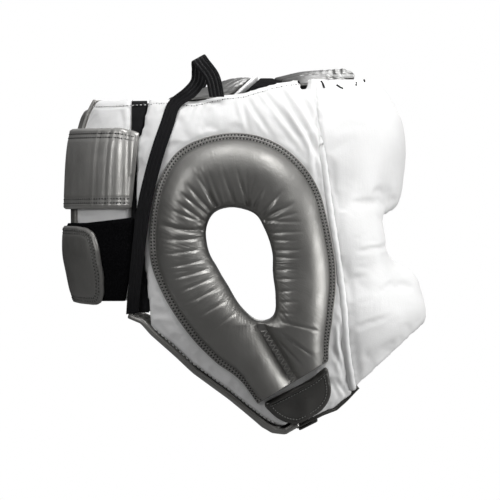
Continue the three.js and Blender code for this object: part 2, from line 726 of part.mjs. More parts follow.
// Side elastic: up the side from the gusset's foot, over the rim in a standing loop, and sewn to the rim.
const elasticRows = [
  { forward: -0.296, up: -0.634, lift: 2.6, lean: [1, 0.1] },
  { forward: -0.287, up: -0.57, lift: 4.6, lean: [1, 0.12] },
  { forward: -0.275, up: -0.46, lift: 4.8, lean: [1, 0.12] },
  { forward: -0.261, up: -0.349, lift: 4.6, lean: [1, -0.15] },
  { forward: -0.243, up: -0.266, lift: 4.2, lean: [1, -0.3] },
  { forward: -0.22, up: -0.183, lift: 3.4, lean: [1, -0.3] },
  { forward: -0.196, up: -0.113, lift: 2.4, lean: [1, -0.35] },
  { forward: -0.176, up: -0.062, lift: 2.6, lean: [1, -0.4] },
];
const loopRows = [
  { forward: -0.132, up: -0.022, right: 0.5, lean: [1, -0.5], turn: [0.95, 0.25] },
  { forward: -0.108, up: 0.01, right: -4.5, lean: [1, -0.1], turn: [1, 0] },
  { forward: -0.107, up: 0.045, right: -5, lean: [1, 0.4], turn: [0.95, -0.3] },
  { forward: -0.109, up: 0.066, right: -3.5, lean: [1, 0.55], turn: [0.6, -0.8] },
  { forward: -0.106, up: 0.071, right: 0, lean: [1, 0.55], turn: [0, -1] },
  { forward: -0.096, up: 0.058, right: 4, lean: [1, 0.55], turn: [-0.6, -0.8] },
  { forward: -0.066, up: 0.018, right: 5.5, lean: [1, 0.4], turn: [-1, -0.1] },
  { forward: -0.053, up: -0.036, right: 4.5, lean: [1, 0.02], turn: [-1, 0] },
];
function sideElastic() {
  const rows = elasticRows.map((row) => {
    const [forward, up] = [row.forward * shellLength, row.up * shellHeight];
    const surface = onSide(forward, up, 0);
    const face = onSide(forward, up, 1).sub(surface);
    const across = onSide(forward + row.lean[0], up + row.lean[1], 0).sub(surface);
    return { centre: surface.addScaledVector(face, row.lift), across, face };
  });
  rows.push(...loopRows.map((row) => {
    const [forward, up] = [row.forward * shellLength, row.up * shellHeight];
    const edge = -onSide(forward, rearRimLevel, 0).x;
    return {
      centre: place(edge + row.right, forward, up),
      across: place(0, row.lean[0], row.lean[1]),
      face: place(row.turn[0], 0, row.turn[1]),
    };
  }));
  return ribbon(rows, elasticWidth, elasticThickness, 28);
}

// Crown flaps: arches that spring from inside the rim.
const rearFlapRows = [
  { forward: -0.2, up: -0.035 },
  { forward: -0.15, up: -0.024 },
  { forward: -0.088, up: -0.006 },
  { forward: -0.035, up: 0.014 },
  { forward: 0.0, up: 0.022 },
  { forward: 0.06, up: 0.025 },
];
const frontFlapRows = [
  { forward: 0.1, up: 0.019 },
  { forward: 0.15, up: 0.03 },
  { forward: 0.19, up: 0.039 },
  { forward: 0.25, up: 0.044 },
  { forward: 0.31, up: 0.047 },
  { forward: 0.34, up: 0.046 },
  { forward: 0.358, up: 0.03 },
];
const springLevel = -0.05 * shellHeight;
const tongueDepth = 21;
const rearFlapFront = 0.067 * shellLength;
const archColumns = 10;
const arch = (t) => Math.PI * (t - 0.5);

// Half width inside the rim at a place along the head.
function insideRim(forward) {
  const level = rimAt(forward);
  const inner = new THREE.Vector3();
  let outside = forward;
  for (let i = 0; i < 8; i += 1) {
    const bearing = bearingAt(outside, level);
    inner.copy(onShell(bearing, level, -wallAt(bearing, level)));
    outside += forward + inner.y;
  }
  return -inner.x - crownClearance;
}

function rearFlapPoint(forward, t, deeper) {
  const crest = smoothRows(sideRows(rearFlapRows))(forward) - deeper;
  const inside = insideRim(forward) - deeper;
  const up = springLevel + (crest - springLevel) * Math.cos(arch(t)) ** 0.8;
  return place(inside * Math.sin(arch(t)), forward, up);
}
const tongueFront = (t) => rearFlapFront - tongueDepth * (2 * t - 1) ** 2;

function crownRearFlap() {
  const back = rearFlapRows[0].forward * shellLength;
  return slab(8, archColumns, (s, t, depth) => {
    const front = tongueFront(t) - pipingWidth - gap;
    return rearFlapPoint(THREE.MathUtils.lerp(back, front, s), t, depth * crownPadding);
  });
}

function crownFlapPiping() {
  return slab(1, archColumns, (s, t, depth) => {
    const forward = tongueFront(t) - pipingWidth * (1 - s);
    return rearFlapPoint(forward, t, depth * (crownPadding + bindingProud) - bindingProud * (1 - depth));
  });
}

const frontFlapRear = 0.115 * shellLength;
const frontFlapFront = 0.352 * shellLength;
const frontFlapHalf = 47;
const frontFlapDrop = 11;
const frontFlapCurve = 19;
const frontFlapEdge = 0.6;
function crownFrontFlap() {
  const crest = smoothRows(sideRows(frontFlapRows));
  return slab(9, 6, (s, t, depth) => {
    const aside = 2 * t - 1;
    const curved = frontFlapCurve * aside * aside * (1 - s) * (1 - s);
    const forward = THREE.MathUtils.lerp(frontFlapRear, frontFlapFront, s) + curved;
    const half = Math.min(frontFlapHalf, insideRim(forward));
    const thickness = crownPadding * THREE.MathUtils.lerp(1, frontFlapEdge, aside * aside);
    return place(half * aside, forward, crest(forward) - frontFlapDrop * aside * aside - depth * thickness);
  });
}

// Black lining of the crown, which shows between the two flaps.
const crownLiningDrop = 1;
const crownLiningFront = 0.165 * shellLength;
function crownLining() {
  const widest = insideRim(frontFlapRear);
  return slab(3, archColumns, (s, t, depth) => {
    const aside = (widest * Math.sin(arch(t))) / frontFlapHalf;
    const front = Math.min(frontFlapRear + 0.8 * frontFlapCurve * aside * aside, crownLiningFront) - 2 * gap;
    const forward = THREE.MathUtils.lerp(tongueFront(t) + 4 * gap, front, s);
    return rearFlapPoint(forward, t, crownLiningDrop + depth * crownLiningThickness);
  });
}

// Lace that ties the front flap's edge to the rim: a zigzag above both.
const laceCrossings = 5;
const lacePitch = 4.4;
const laceRear = 0.27 * shellLength;
const laceInside = 40;
function crownLace() {
  const points = steps(0, laceCrossings, laceCrossings).map((count) => {
    const forward = laceRear + lacePitch * count;
    const atRim = count % 2 === 0;
    const rimUp = rimAt(forward);
    const rim = -onSide(forward, rimUp, 0).x;
    return place(atRim ? rim - rimPadding / 3 : laceInside, forward, rimUp + laceWidth / 2 + gap);
  });
  const path = new THREE.CatmullRomCurve3(points, false, 'centripetal');
  const sides = 6;
  const ring = steps(0, sides - 1, sides - 1).map((i) => {
    const turn = (2 * Math.PI * i) / sides;
    return new THREE.Vector2((laceWidth / 2) * Math.cos(turn), (laceWidth / 2) * Math.sin(turn));
  });
  return new THREE.ExtrudeGeometry(new THREE.Shape(ring), { steps: 12, extrudePath: path });
}

// Chin strap: straight across under the chin between the feet of the side panels.
const chinStrapForward = 0.215 * shellLength;
function chinStrap() {
  const level = lowerEdgeAt(chinStrapForward) - 2 * gap - chinStrapThickness;
  const half = -onSide(chinStrapForward, lowerEdgeAt(chinStrapForward), 0).x;
  const slope = (lowerEdgeAt(chinStrapForward + 5) - lowerEdgeAt(chinStrapForward - 5)) / 10;
  return slab(12, 1, (s, t, depth) => {
    const forward = chinStrapForward + chinStrapWidth * (t - 0.5);
    const up = level + slope * (forward - chinStrapForward) + chinStrapThickness * (1 - depth);
    return place(half * (2 * s - 1), forward, up);
  });
}

function named(name, geometry, finish) {
  const mesh = new THREE.Mesh(geometry, new THREE.MeshStandardMaterial(colours[finish]));
  mesh.name = name;
  return mesh;
}

const headGuard = new THREE.Group();

const pairs = [
  ['side_panel', sidePanel(), 'white'],
  ['ear_ring', earRing(), 'silver'],
  ['ear_ring_trim', earRingTrim(), 'silver'],
  ['jaw_patch', jawPatch(), 'darkSilver'],
  ['edge_binding', edgeBinding(), 'silver'],
  ['gusset', gusset(), 'black'],
  ['back_panel', backPanel(), 'white'],
  ['back_piping', backPiping(), 'silver'],
  ['side_elastic', sideElastic(), 'black'],
  ['crown_lace', crownLace(), 'white'],
];
for (const side of ['right', 'left']) {
  const half = new THREE.Group();
  half.scale.x = side === 'right' ? 1 : -1;
  for (const [name, geometry, finish] of pairs) {
    half.add(named(`${name}_${side}`, geometry, finish));
  }
  headGuard.add(half);
}

headGuard.add(
  named('front_pad', frontPad(), 'white'),
  named('back_centre_panel', backCentrePanel(), 'silver'),
  named('upper_back_strap', bandRound(upperStrapRows, bandLayer, strapThickness), 'silver'),
  named('loop_band', bandRound(loopBandRows, bandLayer, loopBandThickness), 'black'),
  named('lower_back_strap', lowerStrap(), 'silver'),
  named('crown_rear_flap', crownRearFlap(), 'silver'),
  named('crown_flap_piping', crownFlapPiping(), 'white'),
  named('crown_lining', crownLining(), 'black'),
  named('crown_front_flap', crownFrontFlap(), 'silver'),
  named('chin_strap', chinStrap(), 'darkSilver'),
);

export default headGuard;
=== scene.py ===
import math

import bmesh
import bpy
import numpy as np
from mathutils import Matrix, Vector


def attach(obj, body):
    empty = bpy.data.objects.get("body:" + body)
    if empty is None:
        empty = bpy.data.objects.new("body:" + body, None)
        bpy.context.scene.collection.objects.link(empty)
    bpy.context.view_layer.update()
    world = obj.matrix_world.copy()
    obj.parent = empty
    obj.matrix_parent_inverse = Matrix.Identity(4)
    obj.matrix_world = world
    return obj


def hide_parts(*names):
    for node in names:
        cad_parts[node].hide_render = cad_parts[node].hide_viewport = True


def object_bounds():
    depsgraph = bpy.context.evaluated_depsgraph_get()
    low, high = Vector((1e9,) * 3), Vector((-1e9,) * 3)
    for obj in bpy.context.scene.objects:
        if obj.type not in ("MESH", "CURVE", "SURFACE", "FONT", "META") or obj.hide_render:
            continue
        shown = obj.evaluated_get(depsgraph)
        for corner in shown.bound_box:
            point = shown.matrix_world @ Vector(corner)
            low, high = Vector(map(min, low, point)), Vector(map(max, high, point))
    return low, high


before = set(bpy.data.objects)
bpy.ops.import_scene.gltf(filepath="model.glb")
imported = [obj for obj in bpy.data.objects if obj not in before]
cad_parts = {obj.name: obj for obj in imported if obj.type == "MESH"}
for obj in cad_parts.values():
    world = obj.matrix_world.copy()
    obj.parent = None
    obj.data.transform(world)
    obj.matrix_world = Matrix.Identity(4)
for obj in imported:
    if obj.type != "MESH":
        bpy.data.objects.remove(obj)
cad_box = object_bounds()

# Lengths are in millimetres until a mesh is made. Forward is towards the face, right is the wearer's right.
MM = 0.001
SHELL_LENGTH = 273.0
SHELL_HEIGHT = 289.0
SHELL_WIDTH = 216.0
SQUARENESS = 2.25

FOREHEAD_PADDING = 34.0
SIDE_PADDING = 21.0
BACK_PADDING = 10.0
RIM_PADDING = 9.0
RIM_TAPER_HEIGHT = 34.0

GAP = 0.4
TRIM_WIDTH = 5.0
TRIM_THICKNESS = 1.8
BINDING_HEIGHT = 5.0
BINDING_PROUD = 1.0
PIPING_WIDTH = 4.5
STRAP_THICKNESS = 3.0
LOOP_BAND_THICKNESS = 1.8
PATCH_THICKNESS = 2.6
ELASTIC_WIDTH = 12.0
ELASTIC_THICKNESS = 1.4
LACE_WIDTH = 2.6

EYE_WIDTH = 118.0
EYE_HEIGHT = 46.0
EYE_MIDDLE = -121.0
EYE_ROUNDNESS = 3.2
EAR_HOLE_HEIGHT = 100.0
EAR_RING_HEIGHT = 214.0
EAR_RING_PUFF = 13.0
EAR_RING_DEPTH = 20.0
BACK_OPENING_HALF = 36.0

# The photo's frame: 0.8 mm a pixel, centred here, from the wearer's right
PHOTO_WIDTH = 400.0
PHOTO_MIDDLE_FORWARD = 12.0
PHOTO_MIDDLE_UP = -132.8
CAMERA_DISTANCE = 8.0
SIDE_PLANE = -0.09

# Metres along the side elastic from which its pale ribs show
ELASTIC_RIBS_FROM = 0.185
THREAD = 0.38
ROW_PULL = 0.45

# Cloth simulation: air pressure, slack of the leather and how near its edge a cover is held
PAD_PRESSURE = 3.0
PAD_SLACK = 0.02
SEWN_WITHIN = 1.5

# Lights in metres: name, place, size and power
LIGHTS = [
    ("key", (-1.25, -1.2, 1.6), 0.7, 26),
    ("overhead", (-0.9, 0.2, 2.0), 0.9, 17),
    ("rear side", (-1.5, 1.7, 0.6), 0.6, 10),
    ("front fill", (-0.2, -2.1, -0.2), 1.0, 23),
    ("far side", (1.6, -0.5, 1.3), 1.0, 18),
]
SKY_STRENGTH = 0.7
FLOOR_HALF = 6.0
FLOOR_DROP = 0.9
FLOOR_GREY = 0.2


# Curves through rows of sizes

def smooth_rows(rows):
    """Smooth curve through rows of (place, value), level at its ends."""
    table = np.array(sorted(rows), float)
    where, value = table[:, 0], table[:, 1]
    last = len(where) - 1
    before = np.maximum(np.arange(last + 1) - 1, 0)
    after = np.minimum(np.arange(last + 1) + 1, last)
    slope = (value[after] - value[before]) / (where[after] - where[before])

    def curve(asked):
        asked = np.clip(asked, where[0], where[-1])
        i = np.clip(np.searchsorted(where, asked, side="right") - 1, 0, last - 1)
        span = where[i + 1] - where[i]
        t = (asked - where[i]) / span
        rise = value[i + 1] - value[i]
        bend_in = slope[i] * span - rise
        bend_out = rise - slope[i + 1] * span
        return value[i] + t * rise + t * (1 - t) * (bend_in * (1 - t) + bend_out * t)

    return curve


def smoothstep(value, low, high):
    t = np.clip((value - low) / (high - low), 0, 1)
    return t * t * (3 - 2 * t)


def mix(a, b, t):
    return a + (b - a) * t


def hill(away, width):
    return np.exp(-((away / width) ** 2))


# Outside of the shell: level, reach to the front, reach to the back and half width, as shares
SHELL_LEVELS = [
    (0.055, 0.33, 0.27, 0.19),
    (0.039, 0.372, 0.331, 0.25),
    (0.019, 0.407, 0.378, 0.3),
    (0.0, 0.425, 0.407, 0.345),
    (-0.044, 0.46, 0.437, 0.41),
    (-0.1, 0.489, 0.46, 0.455),
    (-0.183, 0.501, 0.478, 0.486),
    (-0.321, 0.49, 0.486, 0.5),
    (-0.36, 0.508, 0.486, 0.5),
    (-0.42, 0.53, 0.485, 0.5),
    (-0.47, 0.53, 0.484, 0.5),
    (-0.515, 0.53, 0.475, 0.495),
    (-0.57, 0.545, 0.463, 0.491),
    (-0.626, 0.56, 0.448, 0.486),
    (-0.667, 0.557, 0.434, 0.477),
    (-0.722, 0.542, 0.41, 0.458),
    (-0.847, 0.484, 0.36, 0.405),
    (-0.985, 0.401, 0.308, 0.33),
]
front_at = smooth_rows([(up * SHELL_HEIGHT, front * SHELL_LENGTH) for up, front, _, _ in SHELL_LEVELS])
back_at = smooth_rows([(up * SHELL_HEIGHT, back * SHELL_LENGTH) for up, _, back, _ in SHELL_LEVELS])
half_width_at = smooth_rows([(up * SHELL_HEIGHT, half * SHELL_WIDTH) for up, _, _, half in SHELL_LEVELS])


def place(right, forward, up):
    right, forward, up = np.broadcast_arrays(right, forward, up)
    return np.stack([-right, -forward, up], -1).astype(float)


def shell_point(bearing, up):
    """Point of the shell; the bearing is 0 at the face and a quarter turn at the wearer's right."""
    forward = np.cos(bearing)
    right = np.sin(bearing)
    reach = np.where(forward > 0, front_at(up), back_at(up))
    total = np.abs(forward / reach) ** SQUARENESS + np.abs(right / half_width_at(up)) ** SQUARENESS
    radius = total ** (-1 / SQUARENESS)
    return place(radius * right, radius * forward, up)


def unit(vectors):
    return vectors / np.maximum(np.linalg.norm(vectors, axis=-1, keepdims=True), 1e-9)


def shell_normal(bearing, up):
    around = shell_point(bearing + 0.01, up) - shell_point(bearing - 0.01, up)
    upwards = shell_point(bearing, up + 1) - shell_point(bearing, up - 1)
    return unit(np.cross(upwards, around))


def on_shell(bearing, up, outwards):
    """Layers stand square on the shell; padding goes level into it."""
    normal = shell_normal(bearing, up)
    level = unit(normal * [1, 1, 0])
    outwards = np.broadcast_to(outwards, np.shape(normal)[:-1])[..., None]
    return shell_point(bearing, up) + outwards * np.where(outwards < 0, level, normal)


def bearing_at(forward, up):
    """Bearing of the right-hand side's point that shows at this place in a side view."""
    reach = np.where(forward > 0, front_at(up), back_at(up))
    share = np.minimum(np.abs(forward) / reach, 0.999)
    right = half_width_at(up) * (1 - share ** SQUARENESS) ** (1 / SQUARENESS)
    return np.arctan2(right, forward)


def on_side(forward, up, outwards):
    return on_shell(bearing_at(forward, up), up, outwards)


# Edges in the side view, as shares of the shell's length forward and its height up
RIM = [(-0.5, -0.039), (-0.19, -0.039), (-0.126, -0.047), (-0.094, -0.041), (-0.029, -0.027), (0.021, -0.023),
       (0.091, -0.003), (0.135, 0.008), (0.176, 0.014), (0.278, 0.019), (0.6, 0.019)]
LOWER_EDGE = [(-0.314, -0.65), (-0.278, -0.664), (-0.249, -0.695), (-0.179, -0.753), (-0.126, -0.8),
              (-0.021, -0.872), (0.032, -0.913), (0.085, -0.952), (0.12, -0.969), (0.149, -0.972),
              (0.19, -0.95), (0.26, -0.917), (0.3, -0.903), (0.352, -0.86), (0.539, -0.699), (0.62, -0.628)]
SEAM = [(0.237, 0.03), (0.24, -0.055), (0.255, -0.177), (0.27, -0.285), (0.284, -0.374), (0.299, -0.465),
        (0.319, -0.609), (0.328, -0.725), (0.343, -0.817), (0.356, -0.87)]
PANEL_REAR = [(-0.243, 0.0), (-0.249, -0.039), (-0.267, -0.127), (-0.27, -0.321), (-0.262, -0.493),
              (-0.243, -0.662), (-0.235, -0.75)]
PANEL_FOOT = -0.662 * SHELL_HEIGHT
BACK_PANEL_FRONT = -0.31 * SHELL_LENGTH
BACK_TOP = -0.042 * SHELL_HEIGHT
BACK_FOOT = -0.6 * SHELL_HEIGHT
SHELL_TOP = 0.055 * SHELL_HEIGHT
SHELL_BOTTOM = -0.985 * SHELL_HEIGHT

# Lap of the side panel over the gusset, and the levels between which it is wider
REAR_LAP = 2.0
REAR_LAP_MORE = 4.5
REAR_LAP_FOOT = (-118, -100)
REAR_LAP_TOP = (-46, -36)


def rear_lap_at(up):
    """How far the side panel's cover laps back over the gusset at a level."""
    return REAR_LAP + REAR_LAP_MORE * smoothstep(up, *REAR_LAP_FOOT) * (1 - smoothstep(up, *REAR_LAP_TOP))


def side_rows(rows):
    return np.array(rows, float) * [SHELL_LENGTH, SHELL_HEIGHT]


def rim_at(forward):
    return np.interp(forward, *side_rows(RIM).T)


def lower_edge_at(forward):
    return np.interp(forward, *side_rows(LOWER_EDGE).T)


seam_at = smooth_rows([(up, forward) for forward, up in side_rows(SEAM)])
panel_rear_at = smooth_rows([(up, forward) for forward, up in side_rows(PANEL_REAR)])


def wall_at(bearing, up):
    """Thickness of the padded wall: thick at the forehead, thinner at the sides, the back and the rim."""
    turn = np.cos(bearing)
    far = np.where(turn > 0, FOREHEAD_PADDING, BACK_PADDING)
    full = mix(SIDE_PADDING, far, turn * turn)
    forward = -shell_point(bearing, up)[..., 1]
    below = smoothstep(rim_at(forward) - up, 0, RIM_TAPER_HEIGHT)
    return mix(np.minimum(RIM_PADDING, full), full, below)


# Meshes

def new_object(name, data):
    piece = bpy.data.objects.new(name, data)
    bpy.context.scene.collection.objects.link(piece)
    return piece


def link(name, vertices, faces, uv):
    """New object from points in millimetres, faces and a UV for each point."""
    mesh = bpy.data.meshes.new(name)
    faces = [tuple(int(i) for i in face) for face in faces]
    mesh.from_pydata((np.asarray(vertices) * MM).tolist(), [], faces)
    layer = mesh.uv_layers.new(name="surface")
    corners = np.zeros(len(mesh.loops), int)
    mesh.loops.foreach_get("vertex_index", corners)
    layer.data.foreach_set("uv", np.asarray(uv, np.float32)[corners].ravel())
    mesh.validate()
    return new_object(name, mesh)


def tidy_normals(piece):
    """Faces point outwards, doubles are merged and shading is smooth."""
    work = bmesh.new()
    work.from_mesh(piece.data)
    bmesh.ops.remove_doubles(work, verts=work.verts, dist=1e-6)
    bmesh.ops.recalc_face_normals(work, faces=work.faces)
    work.to_mesh(piece.data)
    work.free()
    piece.data.shade_smooth()
    return piece


def points_of(piece):
    points = np.zeros(len(piece.data.vertices) * 3)
    piece.data.vertices.foreach_get("co", points)
    return points.reshape(-1, 3) / MM


def set_points(piece, points):
    piece.data.vertices.foreach_set("co", (np.asarray(points) * MM).ravel())
    piece.data.update()


def apply_modifiers(piece):
    graph = bpy.context.evaluated_depsgraph_get()
    mesh = bpy.data.meshes.new_from_object(piece.evaluated_get(graph), depsgraph=graph)
    piece.modifiers.clear()
    old = piece.data
    piece.data = mesh
    bpy.data.meshes.remove(old)
    piece.data.shade_smooth()


def subdivided(piece):
    modifier = piece.modifiers.new("finer", "SUBSURF")
    modifier.levels = 1
    modifier.render_levels = 1
    apply_modifiers(piece)


def mirrored(piece):
    """Copy of a right-hand piece for the wearer's left side."""
    copy = new_object(piece.name.replace("_right", "_left"), piece.data.copy())
    set_points(copy, points_of(copy) * [-1, 1, 1])
    copy.data.flip_normals()
    return copy


def loop_distance(points, loops):
    """Distance inside closed loops (negative outside) and the nearest point of a loop."""
    best = np.full(len(points), np.inf)
    nearest = np.array(points, float)
    crossings = np.zeros(len(points), int)
    x, y = points[:, 0], points[:, 1]
    for loop in loops:
        for a, b in zip(loop, np.roll(loop, -1, 0)):
            edge = b - a
            size = edge @ edge
            if size < 1e-9:
                continue
            t = np.clip((points - a) @ edge / size, 0, 1)
            foot = a + t[:, None] * edge
            away = np.hypot(*(points - foot).T)
            closer = away < best
            best = np.where(closer, away, best)
            nearest[closer] = foot[closer]
            if a[1] != b[1]:
                crosses = ((a[1] > y) != (b[1] > y)) & (x < edge[0] * (y - a[1]) / edge[1] + a[0])
                crossings += crosses
    return np.where(crossings % 2 == 1, best, -best), nearest


def field(loops, spacing):
    """Square grid inside closed loops, its border drawn onto them: flat points, quads and border edges."""
    loops = [np.asarray(loop, float) for loop in loops]
    low, high = loops[0].min(0), loops[0].max(0)
    counts = np.ceil((high - low) / spacing).astype(int)
    us = np.linspace(low[0], high[0], counts[0] + 1)
    vs = np.linspace(low[1], high[1], counts[1] + 1)
    centres = np.stack(np.meshgrid((us[1:] + us[:-1]) / 2, (vs[1:] + vs[:-1]) / 2, indexing="ij"), -1)
    inside = loop_distance(centres.reshape(-1, 2), loops)[0] > 0
    cells = np.argwhere(inside.reshape(counts[0], counts[1]))
    across = counts[1] + 1
    corner = cells[:, 0] * across + cells[:, 1]
    quads = np.stack([corner, corner + across, corner + across + 1, corner + 1], 1)
    flat = np.stack(np.meshgrid(us, vs, indexing="ij"), -1).reshape(-1, 2)
    used, quads = np.unique(quads, return_inverse=True)
    quads = quads.reshape(-1, 4)
    flat = flat[used]
    edges = np.concatenate([quads[:, [k, (k + 1) % 4]] for k in range(4)])
    ordered = np.sort(edges, 1)
    _, first, times = np.unique(ordered, axis=0, return_index=True, return_counts=True)
    border = edges[first[times == 1]]
    rim = np.unique(border)
    flat[rim] = loop_distance(flat[rim], loops)[1]
    distance = np.zeros(len(flat))
    rest = np.setdiff1d(np.arange(len(flat)), rim)
    distance[rest] = np.maximum(loop_distance(flat[rest], loops)[0], 0)
    return flat, quads, border, distance


def closed_layer(name, grid, outer, inner):
    """Closed piece between an outer and an inner face over the same flat grid."""
    flat, quads, border, _ = grid
    count = len(flat)
    sides = np.stack([border[:, 1], border[:, 0], border[:, 0] + count, border[:, 1] + count], 1)
    faces = np.concatenate([quads, quads[:, ::-1] + count, sides])
    uv = np.concatenate([flat, flat]) * MM
    return tidy_normals(link(name, np.concatenate([outer, inner]), faces, uv))


def lengths_along(line):
    return np.concatenate([[0], np.cumsum(np.linalg.norm(np.diff(line, axis=0), axis=1))])


def rod_faces(rows, sides):
    """Faces of a row of rings, with both of its ends closed."""
    index = np.arange(rows * sides).reshape(rows, sides)
    beside = np.roll(index, -1, 1)
    quads = np.stack([index[:-1], beside[:-1], beside[1:], index[1:]], -1).reshape(-1, 4)
    return [*quads.tolist(), index[0].tolist(), index[-1][::-1].tolist()]


def swept(name, centres, across, face, profile):
    """Body whose cross-section is a profile of (across, face) offsets, carried along a line of centres."""
    across = unit(across)
    face = unit(face - across * np.sum(face * across, -1, keepdims=True))
    points = centres[:, None] + profile[None, :, :1] * across[:, None] + profile[None, :, 1:] * face[:, None]
    rows, sides = points.shape[:2]
    uv = np.stack(np.meshgrid(lengths_along(centres), lengths_along(profile), indexing="ij"), -1)
    return tidy_normals(link(name, points.reshape(-1, 3), rod_faces(rows, sides), uv.reshape(-1, 2) * MM))


def rounded_strip(width, thickness, corners=3):
    """Profile of a flat strip with round edges, as (across, face) offsets."""
    radius = thickness / 2
    turns = np.linspace(-math.pi / 2, math.pi / 2, corners + 2)
    right = np.stack([width / 2 - radius + radius * np.cos(turns), radius * np.sin(turns)], 1)
    middle = np.linspace(width / 2 - radius, -width / 2 + radius, 9)[1:-1]
    top = np.stack([middle, np.full(7, radius)], 1)
    return np.concatenate([right, top, -right, -top])


def tube(name, line, radius, sides=8):
    """Round rod along a line."""
    line = np.asarray(line, float)
    ahead = unit(np.gradient(line, axis=0))
    aside = unit(np.cross(ahead, [0.31, 0.17, 0.94]))
    turns = np.linspace(0, 2 * math.pi, sides, endpoint=False)
    profile = np.stack([np.cos(turns), np.sin(turns)], 1) * radius
    return swept(name, line, aside, np.cross(ahead, aside), profile)


def spaced(line, spacing):
    """Points along a line at even distances."""
    line = np.asarray(line, float)
    along = lengths_along(line)
    count = max(int(round(along[-1] / spacing)), 1)
    asked = np.linspace(0, along[-1], count + 1)
    return np.stack([np.interp(asked, along, column) for column in line.T], 1)


# Padding: air pressure and slack leather between sewn edges

def swell(piece, sewn, pressure, slack, limit, frames=20):
    """Cloth simulation of a padded piece whose sewn points are held, applied to its mesh."""
    start = points_of(piece)
    group = piece.vertex_groups.new(name="sewn")
    group.add([int(i) for i in sewn], 1.0, "REPLACE")
    cloth = piece.modifiers.new("padding", "CLOTH")
    settings = cloth.settings
    settings.quality = 4
    settings.mass = 0.02
    settings.air_damping = 3
    settings.tension_stiffness = 12
    settings.compression_stiffness = 12
    settings.shear_stiffness = 4
    settings.bending_stiffness = 0.05
    settings.use_pressure = True
    settings.uniform_pressure_force = pressure
    settings.shrink_min = -slack
    settings.vertex_group_mass = "sewn"
    settings.effector_weights.gravity = 0
    cloth.collision_settings.use_collision = False
    scene = bpy.context.scene
    for count in range(1, frames + 1):
        scene.frame_set(count)
    graph = bpy.context.evaluated_depsgraph_get()
    moved = np.zeros(len(start) * 3)
    piece.evaluated_get(graph).data.vertices.foreach_get("co", moved)
    piece.modifiers.remove(cloth)
    piece.vertex_groups.remove(group)
    scene.frame_set(1)
    move = moved.reshape(-1, 3) / MM - start
    size = np.linalg.norm(move, axis=1, keepdims=True)
    capped = move * (limit * np.tanh(size / limit) / np.maximum(size, 1e-9))
    set_points(piece, start + capped)


# Finishes

def shader_tree(name):
    material = bpy.data.materials.new(name)
    material.use_nodes = True
    tree = material.node_tree
    return material, tree, tree.nodes["Principled BSDF"]


def add(tree, kind, settings=None, **inputs):
    node = tree.nodes.new(kind)
    for key, value in (settings or {}).items():
        setattr(node, key, value)
    for key, value in inputs.items():
        socket = node.inputs[int(key[1:])] if key[0] == "i" and key[1:].isdigit() else node.inputs[key]
        if isinstance(value, bpy.types.NodeSocket):
            tree.links.new(value, socket)
        else:
            socket.default_value = value
    return node


def noise(tree, vector, scale, detail, roughness=0.5):
    node = add(tree, "ShaderNodeTexNoise", Vector=vector, Scale=scale, Detail=detail, Roughness=roughness)
    return node.outputs["Fac"]


def stretched(tree, vector, scale):
    return add(tree, "ShaderNodeMapping", Vector=vector, Scale=scale).outputs["Vector"]


def ramp(tree, value, low, high, low_to=0.0, high_to=1.0):
    node = add(tree, "ShaderNodeMapRange", i0=value, i1=low, i2=high, i3=low_to, i4=high_to)
    return node.outputs[0]


def maths(tree, operation, a, b):
    return add(tree, "ShaderNodeMath", {"operation": operation}, i0=a, i1=b).outputs[0]


def bump(tree, height, distance, strength, normal=None):
    node = add(tree, "ShaderNodeBump", Height=height, Distance=distance, Strength=strength)
    if normal is not None:
        tree.links.new(normal, node.inputs["Normal"])
    return node.outputs["Normal"]


def two_colours(tree, factor, dark, light):
    node = add(tree, "ShaderNodeMix", {"data_type": "RGBA"}, i0=factor)
    node.inputs[6].default_value = (*dark, 1)
    node.inputs[7].default_value = (*light, 1)
    return node.outputs[2]


def coloured(tree, shader, factor, dark, light):
    tree.links.new(two_colours(tree, factor, dark, light), shader.inputs["Base Color"])


def leather(name, dark, light, roughness, metallic, wrinkle, coat):
    """Soft leather: pebble grain, faint cloudy colour, uneven sheen and, by its own UV, fine wrinkles."""
    material, tree, shader = shader_tree(name)
    coordinates = add(tree, "ShaderNodeTexCoord")
    where = coordinates.outputs["Object"]
    coloured(tree, shader, ramp(tree, noise(tree, where, 24.0, 3.0), 0.3, 0.7), dark, light)
    uneven = noise(tree, where, 90.0, 4.0)
    sheen = ramp(tree, uneven, 0.3, 0.7, roughness - 0.05, roughness + 0.06)
    tree.links.new(sheen, shader.inputs["Roughness"])
    shader.inputs["Metallic"].default_value = metallic
    shader.inputs["Coat Weight"].default_value = coat
    shader.inputs["Coat Roughness"].default_value = 0.25
    pebble = add(tree, "ShaderNodeTexVoronoi", Vector=where, Scale=850.0).outputs["Distance"]
    normal = bump(tree, pebble, 0.00012, 0.35)
    normal = bump(tree, noise(tree, where, 140.0, 4.0, 0.6), 0.0006, 0.25, normal)
    surface = coordinates.outputs["UV"]
    drawn = noise(tree, stretched(tree, surface, (420.0, 34.0, 1.0)), 1.0, 3.0, 0.55)
    deeper = ramp(tree, noise(tree, surface, 30.0, 1.0), 0.35, 0.65)
    normal = bump(tree, maths(tree, "MULTIPLY", drawn, deeper), 0.0012, wrinkle, normal)
    tree.links.new(normal, shader.inputs["Normal"])
    return material


